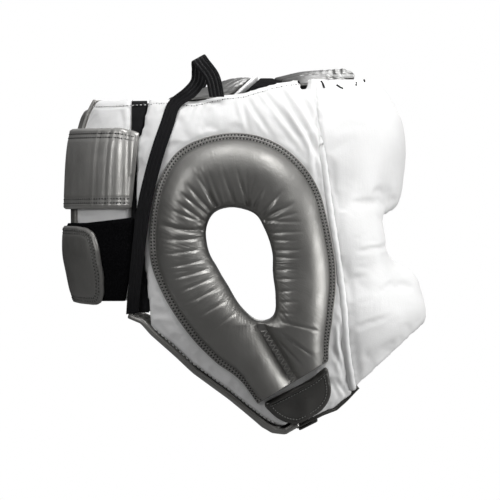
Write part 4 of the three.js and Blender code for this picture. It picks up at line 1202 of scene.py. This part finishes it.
# Ear rings
RING_GATHERS = [
    (-29.6, -62.4, -68, 30, 2.0, 2.0, 0.0),
    (-23.5, -63.5, -70, 29, 1.6, 1.5, 0.0),
    (-10.4, -65.6, -74, 25, 1.6, 1.3, 1.0),
    (0.8, -65.6, -73, 24, 1.5, 1.5, 0.0),
    (9.5, -68.0, -88, 20, 1.4, 1.0, 0.0),
    (16.5, -72.0, -102, 18, 1.4, 1.0, 0.0),
    (-33.5, -68.5, -57, 27, 1.5, 1.5, 0.0),
    (-42.4, -76.0, -46, 27, 1.7, 1.8, -1.0),
    (-48.0, -84.0, -36, 25, 1.4, 1.4, -1.0),
    (-50.0, -92.0, -35, 23, 1.4, 1.3, 0.0),
    (-53.0, -100.0, -26, 24, 1.3, 1.0, 2.0),
    (-63.5, -111.0, -22, 40, 2.0, 3.0, 10.0),
    (-58.0, -124.0, -6, 34, 1.4, 1.3, 5.0),
    (-60.0, -136.0, 2, 34, 1.3, 0.9, 3.0),
    (-56.0, -147.0, 8, 32, 1.3, 1.0, 2.0),
    (-54.0, -157.0, 14, 34, 1.3, 0.9, 1.0),
    (-50.0, -168.0, 20, 32, 1.3, 0.9, 1.0),
    (-44.0, -178.0, 26, 32, 1.3, 0.8, 0.0),
    (-36.0, -190.0, 30, 30, 1.3, 0.7, 0.0),
    (-26.0, -202.0, 36, 28, 1.2, 0.6, 0.0),
    (24.5, -80.0, -115, 19, 1.5, 1.5, 0.0),
    (38.4, -84.8, -133, 22, 1.6, 1.7, 1.0),
    (48.5, -95.0, -157, 26, 1.9, 2.6, 2.0),
    (52.0, -103.0, -170, 24, 1.2, 1.0, 2.0),
    (55.0, -110.4, 180, 30, 1.2, 1.1, -1.0),
    (56.0, -118.4, 180, 30, 1.2, 1.0, 1.0),
    (50.0, -125.5, 178, 22, 1.1, 0.8, 0.0),
    (55.0, -132.8, 181, 26, 1.2, 1.0, 0.0),
    (54.0, -139.5, 179, 24, 1.2, 1.0, -1.0),
    (50.0, -148.0, 182, 20, 1.1, 0.7, 0.0),
    (52.0, -156.0, 180, 22, 1.1, 0.8, 0.0),
    (50.0, -165.0, 184, 20, 1.1, 0.7, 0.0),
    (52.0, -174.0, 182, 22, 1.1, 0.7, 0.0),
    (50.0, -184.0, 176, 20, 1.1, 0.7, 0.0),
    (33.0, -189.0, -14, 20, 1.2, 1.0, 0.0),
    (34.0, -197.0, -36, 20, 1.2, 1.4, 0.0),
    (33.0, -204.0, -46, 18, 1.1, 1.1, 0.0),
]
RING_SEAM = ((21.0, -194.0), (49.5, -241.0))
RING_SEAM_BEARING = 159.0
RING_SEAM_HALF = 3.0
RING_FULL_WIDTH = 30.0
RING_GIRTH = 45.0


def beside_ring_seam(forward, up):
    """Distance from the line where the ring's two ends meet, and the place along it."""
    top, foot = np.array(RING_SEAM)
    ahead = unit(foot - top)
    along = (forward - top[0]) * ahead[0] + (up - top[1]) * ahead[1]
    aside = (forward - top[0]) * ahead[1] - (up - top[1]) * ahead[0]
    return aside, along


def tube_height(forward, up, bearing, inwards):
    """Height of the ring's padding, with two round ends beside the seam under the ear hole."""
    flat = np.stack([forward.ravel(), up.ravel()], 1)
    turn = np.linspace(0, 360, 121)[:-1]
    outline = np.stack(ring_flat(turn, free_radius_at(turn) - TRIM_WIDTH - GAP), 1)
    to_outline = loop_distance(flat, [outline])[0].reshape(forward.shape)
    aside, along = beside_ring_seam(forward, up)
    to_seam = np.where(along > 0, np.abs(aside), np.hypot(aside, along)) - RING_SEAM_HALF
    to_hole = (1 - inwards) * (free_radius_at(bearing) - hole_radius_at(bearing))
    inner = np.maximum(np.minimum(to_hole, to_seam), 0)
    outer = np.maximum(to_outline, 0)
    share = outer / np.maximum(inner + outer, 0.1)
    wide = np.clip((inner + outer) / RING_FULL_WIDTH, 0, 1) ** 0.5
    arch = np.sin(math.pi * np.clip(share, 0, 1) ** 0.8) ** 0.66
    return EAR_RING_PUFF * arch * wide, inner


def fine_gathers(bearing, inwards):
    """Fine gathers by bearing: close on the rear tube, short and near the hole elsewhere."""
    generator = np.random.default_rng(7)
    turn = np.radians(bearing)
    rear = smoothstep(bearing, 200, 222) * (1 - smoothstep(bearing, 300, 330))
    total = np.zeros(np.shape(bearing))
    for waves in (61, 89, 127, 181):
        phase, lean = generator.uniform(0, 6.28, 2)
        sway = np.sin(turn * 5 + lean) + np.sin(turn * 13 + phase)
        wave = np.sin(turn * waves + phase + 1.9 * sway + 2.4 * (inwards - 0.5))
        patchy = smoothstep(np.sin(turn * 7 + 2.1 * phase) + 0.6 * np.sin(turn * 17 + lean), -0.9, 1.2)
        total += 10.0 / waves * np.maximum(wave, -0.25) * patchy
    near_hole = smoothstep(inwards, 0.5, 0.95)
    across = np.sin(math.pi * np.clip(inwards, 0, 1)) ** 0.6
    return total * mix(0.7 * near_hole, 0.5 * across, rear)


def ear_rings():
    count_around, count_over, count_hole = 720, 52, 12
    bearings = (RING_SEAM_BEARING + np.linspace(0, 360, count_around, endpoint=False))[:, None]
    inwards = np.concatenate([np.linspace(0, 1, count_over), np.full(count_hole, 1.0)])[None, :]
    deeper = np.concatenate([np.zeros(count_over), np.linspace(0, 1, count_hole + 1)[1:]])[None, :]
    bearings, inwards = np.broadcast_arrays(bearings, inwards)
    deeper = np.broadcast_to(deeper, inwards.shape)
    free = free_radius_at(bearings)
    hole = hole_radius_at(bearings)
    trim_outside = trim_outside_at(bearings)
    under_patch = smoothstep(free - trim_outside, 0, 10)
    sewn = trim_outside - TRIM_WIDTH - GAP
    outside = mix(sewn, trim_outside - GAP, under_patch)
    radius = mix(outside, hole, inwards)
    forward, up = ring_flat(bearings, radius)
    shares = (outside - radius) / (outside - hole)
    to_free = mix(inwards, 1 - (radius - hole) / (free - hole), under_patch)
    height, inner = tube_height(forward, up, bearings, to_free)
    fade = smoothstep(shares, 0.0, 0.12) * smoothstep(inner, 0, 2.5)
    gathers = 0.95 * creases(RING_GATHERS, forward, up, GROWING_CREASE)
    folds = (gathers + fine_gathers(bearings, inwards)) * fade
    scallop = 0.55 * fine_gathers(bearings, np.full(np.shape(bearings), 0.9)) * smoothstep(inwards, 0.75, 1.0)
    rise = TRIM_THICKNESS + height - folds - (EAR_RING_DEPTH + TRIM_THICKNESS) * deeper
    radius = radius + scallop - 1.2 * np.sin(math.pi * np.clip(deeper * 1.2, 0, 1))
    points = ring_place(bearings, radius, rise)
    ring = bearings[:, :1]
    lip = ring_place(ring, outside[:, :1], np.minimum(rise[:, :1] - 0.6, TRIM_THICKNESS + 3 * GAP))
    under = ring_place(ring, sewn[:, :1], np.full((count_around, 1), TRIM_THICKNESS + GAP))
    back = ring_place(ring, sewn[:, :1], -EAR_RING_DEPTH)
    points = np.concatenate([points, back, under, lip], 1)
    girth = np.radians(bearings) * RING_GIRTH
    width = inwards * RING_GIRTH + deeper * 20
    girth = np.concatenate([girth, np.repeat(girth[:, :1], 3, 1)], 1)
    width = np.concatenate([width, np.tile([70.0, 72.0, 74.0], (count_around, 1))], 1)
    right = ring_body("ear_ring_cover_right", points, girth, width)
    finish_with(right, silver_leather)
    keep_both(right, "ear_ring")


def ring_body(name, points, girth, width):
    """Closed body from a grid of points that runs round in both directions."""
    rounds, wide = points.shape[:2]
    index = np.arange(rounds * wide).reshape(rounds, wide)
    after = np.roll(index, -1, 0)
    beside = np.roll(index, -1, 1)
    faces = np.stack([index, beside, np.roll(after, -1, 1), after], -1).reshape(-1, 4)
    uv = np.stack([girth, width], -1).reshape(-1, 2) * MM
    return tidy_normals(link(name, points.reshape(-1, 3), faces, uv))


ear_rings()


def ring_seam_zigzag():
    """Thread that joins the ring's two ends, to and fro over the gap between them."""
    top, foot = np.array(RING_SEAM)
    ahead = unit(foot - top)
    across = np.array([ahead[1], -ahead[0]])
    count = 23
    shares = np.linspace(0.06, 0.93, count)[:, None]
    swing = np.where(np.arange(count) % 2 == 0, 1.0, -1.0)[:, None] * (RING_SEAM_HALF - 0.6)
    flat = top + (foot - top) * shares + across * swing
    shell = on_side(flat[:, 0], flat[:, 1], 0.0)
    rise = np.full(count, TRIM_THICKNESS + 0.5)
    right = tube("ring_seam_thread_right", spaced(shell - place(-rise, 0, 0), 0.7), 0.5, 6)
    finish_with(right, silver_thread)
    keep_both(right)


ring_seam_zigzag()


# Bearings between which the trim's stitches run, and where its two rows lie across it
TRIM_SEEN_FROM = 172.0
TRIM_SEEN_TO = 502.0
TRIM_ROWS = (0.3, 0.72)


def ear_ring_trims():
    bearings = np.linspace(0, 360, 300, endpoint=False)
    outside = trim_outside_at(bearings)
    width = TRIM_WIDTH + 1.2
    rows = [ring_place(bearings, outside, GAP / 2)]
    for share in np.linspace(0, 1, 15):
        bead = 0.5 * hill(share - 0.04, 0.06)
        for row in TRIM_ROWS:
            bead -= ROW_PULL * hill(share - row, 0.07)
        edge = 1 - pillow(min(share, 1 - share) * width, 0.9)
        top = GAP + TRIM_THICKNESS * (0.35 + 0.75 * edge) + bead
        rows.append(ring_place(bearings, outside - share * width, top))
    rows.append(ring_place(bearings, outside - width, GAP / 2))
    points = np.stack(rows, 1)
    wide = points.shape[1]
    girth = np.repeat(np.radians(bearings)[:, None] * 80.0, wide, 1)
    across = np.repeat(np.linspace(0, 9, wide)[None, :], len(bearings), 0)
    right = ring_body("ear_trim_right", points, girth, across)
    finish_with(right, silver_trim)
    keep_both(right, "ear_ring_trim")
    rows = []
    turn = np.linspace(TRIM_SEEN_FROM, TRIM_SEEN_TO, 361)
    for share in TRIM_ROWS:
        row = ring_place(turn, trim_outside_at(turn) - share * width, GAP + TRIM_THICKNESS + 0.1)
        line = spaced(row, 1.5)
        rows.append((line, shell_normal(bearing_at(-line[:, 1], line[:, 2]), line[:, 2])))
    stitch_rows("ear_trim_stitches", rows, silver_thread, 2.7, 1.9, 0.5, 0.8)


ear_ring_trims()


# Jaw patch, bindings and gussets
def side_layer(name, loop, spacing, under, thickness, shape, finish, node):
    """Thin leather or web laid on both sides; shape gives its rise from the distance to its edge."""
    grid = field([loop], spacing)
    flat, _, _, distance = grid
    forward, up = flat.T
    bearing = bearing_at(forward, up)
    top = under + thickness * (0.3 + 0.7 * (1 - pillow(distance, 1.4))) + shape(forward, up, distance)
    piece = closed_layer(name + "_right", grid, on_shell(bearing, up, top), on_shell(bearing, up, under))
    finish_with(piece, finish)
    keep_both(piece, node)


def round_corners(rows, radius=4.0, steps=5):
    """Closed outline with its corners cut by short curves."""
    rows = np.asarray(rows, float)
    line = []
    for before, corner, after in zip(np.roll(rows, 1, 0), rows, np.roll(rows, -1, 0)):
        start = corner + (before - corner) * min(radius / np.linalg.norm(before - corner), 0.45)
        stop = corner + (after - corner) * min(radius / np.linalg.norm(after - corner), 0.45)
        for t in np.linspace(0, 1, steps):
            line.append((1 - t) ** 2 * start + 2 * t * (1 - t) * corner + t * t * stop)
    return np.array(line)


def inset(loop, distance, spacing=2.0):
    """The loop's points moved in by a distance."""
    loop = spaced(np.concatenate([loop, loop[:1]]), spacing)[:-1]
    ahead = unit(np.roll(loop, -1, 0) - np.roll(loop, 1, 0))
    inside = np.stack([ahead[:, 1], -ahead[:, 0]], 1)
    trial = loop_distance(loop + inside * 0.5, [loop])[0]
    if np.mean(trial) < 0:
        inside = -inside
    return loop + inside * distance


PATCH_ROW = 4.2


def jaw_patches():
    outline = round_corners(side_rows(PATCH), 5.0)
    top_line = side_rows(PATCH)[:PATCH_TOP_END + 1]
    under = GAP + BINDING_PROUD

    def below_top(forward, up):
        return np.interp(forward, top_line[:, 0], top_line[:, 1]) - up

    def shape(forward, up, distance):
        roll = 1.5 * hill(below_top(forward, up) - 1.6, 1.5)
        dent = -1.6 * hill(np.hypot(forward - 46, up + 262), 9) + 1.0 * hill(forward - 56, 5) * (up < -250)
        return roll - 0.35 * hill(distance - PATCH_ROW, 0.7) + dent * smoothstep(distance, 0, 4)

    # The patch's darkness is partly its own darker leather and partly painted shade.
    side_layer("jaw_patch_cover", outline, 1.3, under, PATCH_THICKNESS, shape, dark_silver_and_painted_shade,
               "jaw_patch")
    row = inset(outline, PATCH_ROW)
    stitches = side_row(row[below_top(*row.T) < 30], under + PATCH_THICKNESS)
    stitch_rows("jaw_patch_stitches", [stitches], dark_thread, 2.5, 1.8)


jaw_patches()


def binding_profile():
    """Section of the binding: (outwards, upwards, 1 at the wall's inner face or 0 at its outer face)."""
    radius = 2.2
    outer = BINDING_PROUD - radius
    inner = radius - 0.5
    corners = [
        (outer, BINDING_HEIGHT - radius, 0, np.linspace(0, math.pi / 2, 5)),
        (inner, BINDING_HEIGHT - radius, 1, np.linspace(math.pi / 2, math.pi, 5)),
        (inner, radius, 1, np.linspace(math.pi, 1.5 * math.pi, 5)),
        (outer, radius, 0, np.linspace(-math.pi / 2, 0, 7)),
    ]
    profile = []
    for out, high, inside, turns in corners:
        for turn in turns:
            profile.append((out + radius * math.cos(turn), high + radius * math.sin(turn), inside))
    profile.insert(5, (-1.5, BINDING_HEIGHT, 0))
    return profile


def edge_bindings():
    line = spaced(edge_points(lower_edge_at, BINDING_REAR, BINDING_FRONT, 0.0, 1.5), 2.0)
    forward, up = line.T
    bearing = bearing_at(forward, up)
    wall = wall_at(bearing, up) + 0.5
    base = on_shell(bearing, up, 0.0)
    outwards = unit(shell_normal(bearing, up) * [1, 1, 0])
    ahead = unit(np.gradient(base, axis=0))
    upright = unit(np.cross(ahead, outwards))
    upright *= np.sign(upright[:, 2:])
    points = np.stack([
        base + outwards * (out - inside * wall)[:, None] + upright * high
        for out, high, inside in binding_profile()
    ], 1)
    count, sides = points.shape[:2]
    along = np.repeat(np.arange(count)[:, None] * 2.0, sides, 1)
    across = np.repeat(np.linspace(0, 30, sides)[None, :], count, 0)
    uv = np.stack([along, across], -1).reshape(-1, 2) * MM
    faces = rod_faces(count, sides)
    right = tidy_normals(link("edge_binding_cover_right", points.reshape(-1, 3), faces, uv))
    finish_with(right, silver_trim)
    keep_both(right, "edge_binding")


edge_bindings()


def gussets():
    foot = lower_edge_at(BACK_PANEL_FRONT) + BINDING_HEIGHT + GAP
    ups = np.linspace(BACK_TOP - 1, foot, 40)
    front = np.stack([panel_rear_at(ups) - 2 * GAP - rear_lap_at(ups), ups], 1)
    back = np.array([[BACK_PANEL_FRONT + GAP, foot], [BACK_PANEL_FRONT + GAP, BACK_TOP - 1]])

    def shape(forward, up, distance):
        return 0.25 * np.sin(up * 0.5 + 0.3 * forward) * smoothstep(distance, 0, 3)

    side_layer("gusset_web", polyline(front, back), 1.8, -3.0, 2.2, shape, stretch_web,
               "gusset")


gussets()


# Back: panels, piping, centre panel and the three bands
def back_bearing_at(right, up):
    """Bearing of the back's point at a distance to the right."""
    share = np.minimum(np.abs(right) / half_width_at(up), 0.999) ** SQUARENESS
    forward = -back_at(up) * (1 - share) ** (1 / SQUARENESS)
    return np.arctan2(right, forward)


def back_layer(name, loop, spacing, outer, inner, finish, node, fill=None):
    """Piece round the back over a flat loop of (bearing x AROUND, up); a right-hand one gets its mirror."""
    grid = field([loop], spacing)
    flat, _, _, distance = grid
    bearing, up = flat[:, 0] / AROUND, flat[:, 1]
    piece = closed_layer(name, grid, on_shell(bearing, up, outer(bearing, up, distance)),
                         on_shell(bearing, up, inner(bearing, up, distance)))
    if fill is None:
        finish_with(piece, finish)
    else:
        pad_out(piece, distance < SEWN_WITHIN, finish, 1.5)
    if name.endswith("_right"):
        keep_both(piece, node)
        return
    keep(piece, node)


def flat_at(rise):
    """Face of a back layer that lies at one height over the shell."""
    return lambda bearing, up, distance: rise


def back_line(right, ups):
    """Upright line down the back at a distance to the right, laid flat."""
    return np.stack([back_bearing_at(np.full(len(ups), right), ups) * AROUND, ups], 1)


BACK_ROW_DROP = 4.2


def back_panels():
    ups = np.linspace(BACK_FOOT, BACK_TOP, 60)
    near = back_line(BACK_OPENING_HALF, ups)
    far = np.stack([bearing_at(np.full(60, BACK_PANEL_FRONT), ups) * AROUND, ups], 1)

    def row_at(bearing):
        return BACK_TOP - BACK_ROW_DROP - 1.2 * np.sin((bearing - 2.3) * 4)

    def outer(bearing, up, distance):
        stitch = 0.6 * hill(row_at(bearing) - up, 0.9)
        return -3.0 * pillow(distance, 3.5) - stitch + 0.4 * (1 - pillow(distance, 12))

    def inner(bearing, up, distance):
        wall = wall_at(bearing, up)
        return -(wall - 0.4 * wall * pillow(distance, 3.5))

    back_layer("back_panel_cover_right", polyline(near, far[::-1]), 1.9, outer, inner, white_leather,
               "back_panel", 0.6)
    right = np.linspace(BACK_OPENING_HALF + 2, 86, 40)
    bearing = back_bearing_at(right, np.full(40, BACK_TOP - BACK_ROW_DROP))
    rows = [shell_row(bearing, row_at(bearing), 0.0)]
    stitch_rows("back_panel_stitches", rows, white_thread, 3.6, 2.2, hole=0.5)


back_panels()


def back_pipings():
    inside = BACK_OPENING_HALF - GAP - PIPING_WIDTH
    ups = np.linspace(BACK_FOOT, BACK_TOP, 90)
    rolls = []
    for name, share, radius in (("roll", 0.27, 1.35), ("edge", 0.77, 1.2)):
        bearing = back_bearing_at(np.full(90, inside + PIPING_WIDTH * share), ups)
        rolls.append(tube(f"back_piping_{name}_right", on_shell(bearing, ups, -0.2), radius, 12))
    ups = np.linspace(BACK_FOOT, BACK_TOP, 60)
    strip = polyline(back_line(inside, ups), back_line(BACK_OPENING_HALF - GAP, ups)[::-1])
    back_layer("back_piping_base_right", strip, 1.5, flat_at(-0.4),
               lambda bearing, up, distance: -wall_at(bearing, up) - BINDING_PROUD,
               silver_trim, "back_piping")
    for piece in rolls:
        finish_with(piece, silver_trim)
        keep_both(piece)


back_pipings()


def back_centre():
    top = BACK_TOP - 7
    near = back_line(BACK_OPENING_HALF - 2 * GAP - PIPING_WIDTH, np.linspace(BACK_FOOT, top, 60))
    far = near * [-1, 1] + [2 * math.pi * AROUND, 0]

    def outer(bearing, up, distance):
        channel = 0.9 * hill(np.sin((bearing - math.pi) * 7), 0.18)
        return -BINDING_PROUD - 1.6 * pillow(distance, 2.5) - channel - 0.6 * hill(top - up - 4, 0.8)

    def inner(bearing, up, distance):
        return pillow(distance, 2.5) - BINDING_PROUD - BACK_PADDING / 2

    back_layer("back_centre_cover", polyline(near, far[::-1]), 2.0, outer, inner, silver_leather,
               "back_centre_panel", 0.5)


back_centre()


# Straps and band: the heights at which they lie, and their right ends in the side view
BAND_LAYER = BINDING_PROUD + 1.5 * GAP
STRAP_LAYER = BAND_LAYER + LOOP_BAND_THICKNESS + 2 * GAP
UPPER_STRAP = [(-0.33, -0.125), (-0.3, -0.13), (-0.278, -0.136), (-0.3, -0.345)]
LOOP_BAND = [(-0.43, -0.384), (-0.32, -0.372), (-0.292, -0.368), (-0.3, -0.5), (-0.318, -0.6)]
LOWER_STRAP = [(-0.451, -0.393), (-0.42, -0.398), (-0.4, -0.413), (-0.388, -0.448), (-0.381, -0.49),
               (-0.373, -0.531), (-0.372, -0.579), (-0.38, -0.602), (-0.393, -0.609), (-0.44, -0.604),
               (-0.466, -0.597)]
STRAP_ROWS = (3.0, 5.6)
WIDE_STRAP_ROWS = (4.5, 7.6)


def band_loop(rows, both=True, left_foot=0.0, left_top=0.0):
    """Flat loop of a band whose right end is given and whose left end mirrors it, or is cut straight."""
    line = spaced(side_rows(rows), 3.0)
    right = np.stack([bearing_at(line[:, 0], line[:, 1]) * AROUND, line[:, 1]], 1)
    whole = 2 * math.pi * AROUND
    if both:
        return polyline(right, (right * [-1, 1] + [whole, 0])[::-1])
    left = bearing_at(-0.33 * SHELL_LENGTH, -140.0) * AROUND
    return polyline(right, [[whole - left, left_foot], [whole - left, left_top]])


def strap_top(distance):
    """Height of a folded leather strap, with a round edge."""
    return STRAP_THICKNESS * (0.45 + 0.55 * (1 - pillow(distance, 1.6)))


def upper_strap():
    loop = band_loop(UPPER_STRAP)

    def bulge_at(bearing, up):
        from_end = np.minimum(bearing - bearing_at(-0.285 * SHELL_LENGTH, up), 2 * math.pi) * AROUND
        return 1.5 * smoothstep(from_end, 6.5, 12.5) - 0.7 * hill(from_end - 6.0, 1.4)

    def outer(bearing, up, distance):
        fine = 0.12 * np.sin(bearing * 90) + 0.1 * np.sin(bearing * 143 + 1)
        creased = 2.4 * fine * hill(np.abs(bearing - math.pi) - 0.62, 0.14)
        edges = np.minimum(up - loop[:, 1].min(), loop[:, 1].max() - up)
        pulled = sum(ROW_PULL * hill(edges - row, 0.7) for row in WIDE_STRAP_ROWS)
        return BAND_LAYER + strap_top(distance) + bulge_at(bearing, up) + creased - pulled

    # The strap's lighter silver is painted light.
    back_layer("upper_strap_cover", loop, 1.6, outer, flat_at(BAND_LAYER), strap_silver_painted_light,
               "upper_back_strap")
    bearing = np.linspace(loop[:, 0].min() / AROUND + 0.03, loop[:, 0].max() / AROUND - 0.03, 200)
    top = UPPER_STRAP[2][1] * SHELL_HEIGHT + 3.2 * smoothstep(-np.cos(bearing), 0.62, 0.8)
    foot = np.full(200, UPPER_STRAP[3][1] * SHELL_HEIGHT)
    rows = []
    for edge, inwards in ((top, -1), (foot, 1)):
        for drop in WIDE_STRAP_ROWS:
            up = edge + inwards * drop
            rows.append(shell_row(bearing, up, BAND_LAYER + STRAP_THICKNESS - 0.25 + bulge_at(bearing, up)))
    stitch_rows("upper_strap_stitches", rows, dark_thread, 3.1, 1.7, 0.55, 0.75, False)


upper_strap()


def loop_band():
    def outer(bearing, up, distance):
        return BAND_LAYER + LOOP_BAND_THICKNESS * (0.5 + 0.5 * (1 - pillow(distance, 1.0)))

    back_layer("loop_band_tape", band_loop(LOOP_BAND), 2.0, outer, flat_at(BAND_LAYER), loop_tape,
               "loop_band")


loop_band()


def lower_strap():
    loop = band_loop(LOWER_STRAP, False, -0.597 * SHELL_HEIGHT, -0.388 * SHELL_HEIGHT)

    def outer(bearing, up, distance):
        pulled = sum(ROW_PULL * hill(distance - row, 0.7) for row in STRAP_ROWS)
        middle = 0.5 * (1 - pillow(distance - 6, 9)) * (distance > 6)
        return STRAP_LAYER + strap_top(distance) - pulled + middle

    back_layer("lower_strap_cover", loop, 1.5, outer, flat_at(STRAP_LAYER), silver_leather,
               "lower_back_strap")
    rows = []
    for distance in STRAP_ROWS:
        around, up = inset(loop, distance).T
        rows.append(shell_row(around / AROUND, up, STRAP_LAYER + STRAP_THICKNESS - 0.25))
    stitch_rows("lower_strap_stitches", rows, dark_thread, 2.8, 1.8, 0.0, 0.75, False)


lower_strap()


# Side elastic: sewn at the gusset's foot, up over the rim in a standing loop, and sewn to the rim
# Rows: forward and up as shares, height over the side and lean
ELASTIC_UP = [
    (-0.296, -0.634, 2.6, 0.1), (-0.287, -0.57, 4.6, 0.12), (-0.275, -0.46, 4.8, 0.12),
    (-0.261, -0.349, 4.6, -0.15), (-0.243, -0.266, 4.2, -0.3), (-0.22, -0.183, 3.4, -0.3),
    (-0.196, -0.113, 2.4, -0.35), (-0.176, -0.062, 2.6, -0.4),
]
# Rows: forward and up as shares, place to the right of the rim, lean, and where its face looks (right, up)
ELASTIC_LOOP = [
    (-0.132, -0.022, 0.5, -0.5, (0.95, 0.25)), (-0.108, 0.01, -4.5, -0.1, (1, 0)),
    (-0.107, 0.045, -5, 0.4, (0.95, -0.3)), (-0.109, 0.066, -3.5, 0.55, (0.6, -0.8)),
    (-0.106, 0.071, 0, 0.55, (0, -1)), (-0.096, 0.058, 4, 0.55, (-0.6, -0.8)),
    (-0.066, 0.018, 5.5, 0.4, (-1, -0.1)), (-0.053, -0.036, 4.5, 0.02, (-1, 0)),
]
ELASTIC_STEPS = 170
REAR_RIM = -0.045 * SHELL_HEIGHT


def through(rows, count):
    """Catmull-Rom curve through rows, at even shares."""
    rows = np.asarray(rows, float)
    ends = np.concatenate([[2 * rows[0] - rows[1]], rows, [2 * rows[-1] - rows[-2]]])
    asked = np.linspace(0, len(rows) - 1, count)
    i = np.minimum(asked.astype(int), len(rows) - 2)
    t = (asked - i)[:, None]
    a, b, c, d = ends[i], ends[i + 1], ends[i + 2], ends[i + 3]
    square = (2 * a - 5 * b + 4 * c - d) * t ** 2
    cube = (3 * b - 3 * c + d - a) * t ** 3
    return 0.5 * (2 * b + (c - a) * t + square + cube)


def side_elastics():
    centres, across, faces = [], [], []
    for forward, up, lift, lean in ELASTIC_UP:
        forward, up = forward * SHELL_LENGTH, up * SHELL_HEIGHT
        surface = on_side(forward, up, 0.0)
        face = on_side(forward, up, 1.0) - surface
        centres.append(surface + face * lift)
        across.append(unit(on_side(forward + 1, up + lean, 0.0) - surface))
        faces.append(face)
    for forward, up, right, lean, turn in ELASTIC_LOOP:
        forward, up = forward * SHELL_LENGTH, up * SHELL_HEIGHT
        edge = -on_side(forward, REAR_RIM, 0.0)[0]
        centres.append(place(edge + right, forward, up))
        across.append(unit(place(0, 1, lean)))
        faces.append(place(turn[0], 0, turn[1]))
    curves = [through(rows, ELASTIC_STEPS) for rows in (centres, across, faces)]
    right = swept("side_elastic_web_right", *curves, rounded_strip(ELASTIC_WIDTH, ELASTIC_THICKNESS))
    finish_with(right, elastic_web)
    keep_both(right, "side_elastic")


side_elastics()


# Crown: flaps, piping and lining from their CAD forms, and laces
FRONT_FLAP_STITCH_RIGHT = 24.0
FLAP_TIP_FROM = 76.0


def swollen_copy(name, node, voxel, pressure, limit, finish, shape=None):
    """Padded piece from a CAD node's form: remeshed, swollen a little, smoothed and creased."""
    piece = new_object(name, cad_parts[node].data.copy())
    tidy_normals(piece)
    remesh = piece.modifiers.new("even", "REMESH")
    remesh.mode = "VOXEL"
    remesh.voxel_size = voxel * MM
    smooth = piece.modifiers.new("soft", "SMOOTH")
    smooth.iterations = 6
    smooth.factor = 0.5
    apply_modifiers(piece)
    swell(piece, [], pressure, 0.0, limit)
    subdivided(piece)
    if shape is not None:
        points = points_of(piece)
        normals = np.zeros(len(points) * 3)
        piece.data.vertex_normals.foreach_get("vector", normals)
        set_points(piece, points + normals.reshape(-1, 3) * shape(points)[:, None])
    finish_with(piece, finish)
    keep(piece, node)
    return piece


def rear_flap_shape(points):
    """Soft ribs that run as the flap's front edge does."""
    right, forward = -points[:, 0], -points[:, 1]
    slanted = forward + 21 * (right / 70) ** 2
    return -0.45 * hill(np.sin(slanted * 0.45 + 0.02 * right), 0.35) * smoothstep(points[:, 2], -8, 0)


def front_flap_shape(points):
    """Crumpled tip and a groove for the stitches."""
    right, forward = -points[:, 0], -points[:, 1]
    crumple = np.sin(forward * 0.52 + 0.3 * right) * np.sin(right * 0.41 - 0.2 * forward)
    crumple += 0.6 * np.sin(forward * 1.1)
    groove = -0.5 * hill(np.abs(right) - FRONT_FLAP_STITCH_RIGHT, 1.4)
    return 0.45 * crumple * smoothstep(forward, 62, 84) + groove


def painted_shade_underside(piece):
    """Painted shade: the darker silver on the faces of a flap that look down or sideways, but not at its tip.
    """
    piece.data.materials.append(dark_silver_and_painted_shade)
    faces = len(piece.data.polygons)
    normals = np.zeros(faces * 3)
    piece.data.polygons.foreach_get("normal", normals)
    centres = np.zeros(faces * 3)
    piece.data.polygons.foreach_get("center", centres)
    # Faces that look down or sideways are given the painted shade.
    low = (normals.reshape(-1, 3)[:, 2] < 0.3) & (-centres.reshape(-1, 3)[:, 1] < FLAP_TIP_FROM * MM)
    piece.data.polygons.foreach_set("material_index", low.astype(np.int32))


def flap_stitches(piece):
    """Long white stitches along both sides of the front flap, laid on its top face."""
    line = []
    for forward in np.arange(54.0, 82.0, 1.0):
        start = Vector((-FRONT_FLAP_STITCH_RIGHT * MM, -forward * MM, 0.1))
        found, spot, _normal, _face = piece.ray_cast(start, Vector((0, 0, -1)))
        if found:
            line.append(np.array(spot) / MM)
    line = np.array(line) + (0, 0, 0.15)
    rows = [(line, np.tile([-0.5, 0.0, 0.86], (len(line), 1)))]
    stitch_rows("crown_flap_stitches", rows, white_thread, 6.2, 4.4, hole=0.0)


def crown():
    # Both crown flaps take the darker silver: painted shade.
    swollen_copy("crown_rear_flap_cover", "crown_rear_flap", 2.2, 0.5, 1.0, flap_silver_painted_shade,
                 rear_flap_shape)
    front_flap = swollen_copy("crown_front_flap_cover", "crown_front_flap", 1.6, 0.5, 0.8, flap_silver_painted_shade,
                              front_flap_shape)
    painted_shade_underside(front_flap)
    flap_stitches(front_flap)
    for name, node, voxel, pressure, limit, finish, slot, fill in (
        ("crown_piping_roll", "crown_flap_piping", 1.5, 0.5, 0.6, white_leather, "white_leather", 0.9),
        ("crown_lining_cover", "crown_lining", 1.0, 0.0, 0.3, lining, "black_webbing", 0.2),
        ("chin_strap_cover", "chin_strap", 1.1, 0.0, 0.3, dark_silver_and_painted_shade, "dark_silver_leather", 0.3),
    ):
        swollen_copy(name, node, voxel, pressure, limit, finish)


crown()


# Laces
LACE_CROSSINGS = 5
LACE_PITCH = 4.4
LACE_REAR = 0.27 * SHELL_LENGTH
LACE_INSIDE = 40.0


def crown_laces():
    points = []
    for count in range(LACE_CROSSINGS + 1):
        forward = LACE_REAR + LACE_PITCH * count
        rim_up = rim_at(forward)
        rim = -on_side(forward, rim_up, 0.0)[0]
        right = rim - RIM_PADDING / 3 if count % 2 == 0 else LACE_INSIDE
        points.append(place(right, forward, rim_up + LACE_WIDTH / 2 + GAP))
    right = tube("crown_lace_braid_right", through(points, 90), LACE_WIDTH / 2, 10)
    finish_with(right, lace_braid)
    keep_both(right, "crown_lace")


crown_laces()
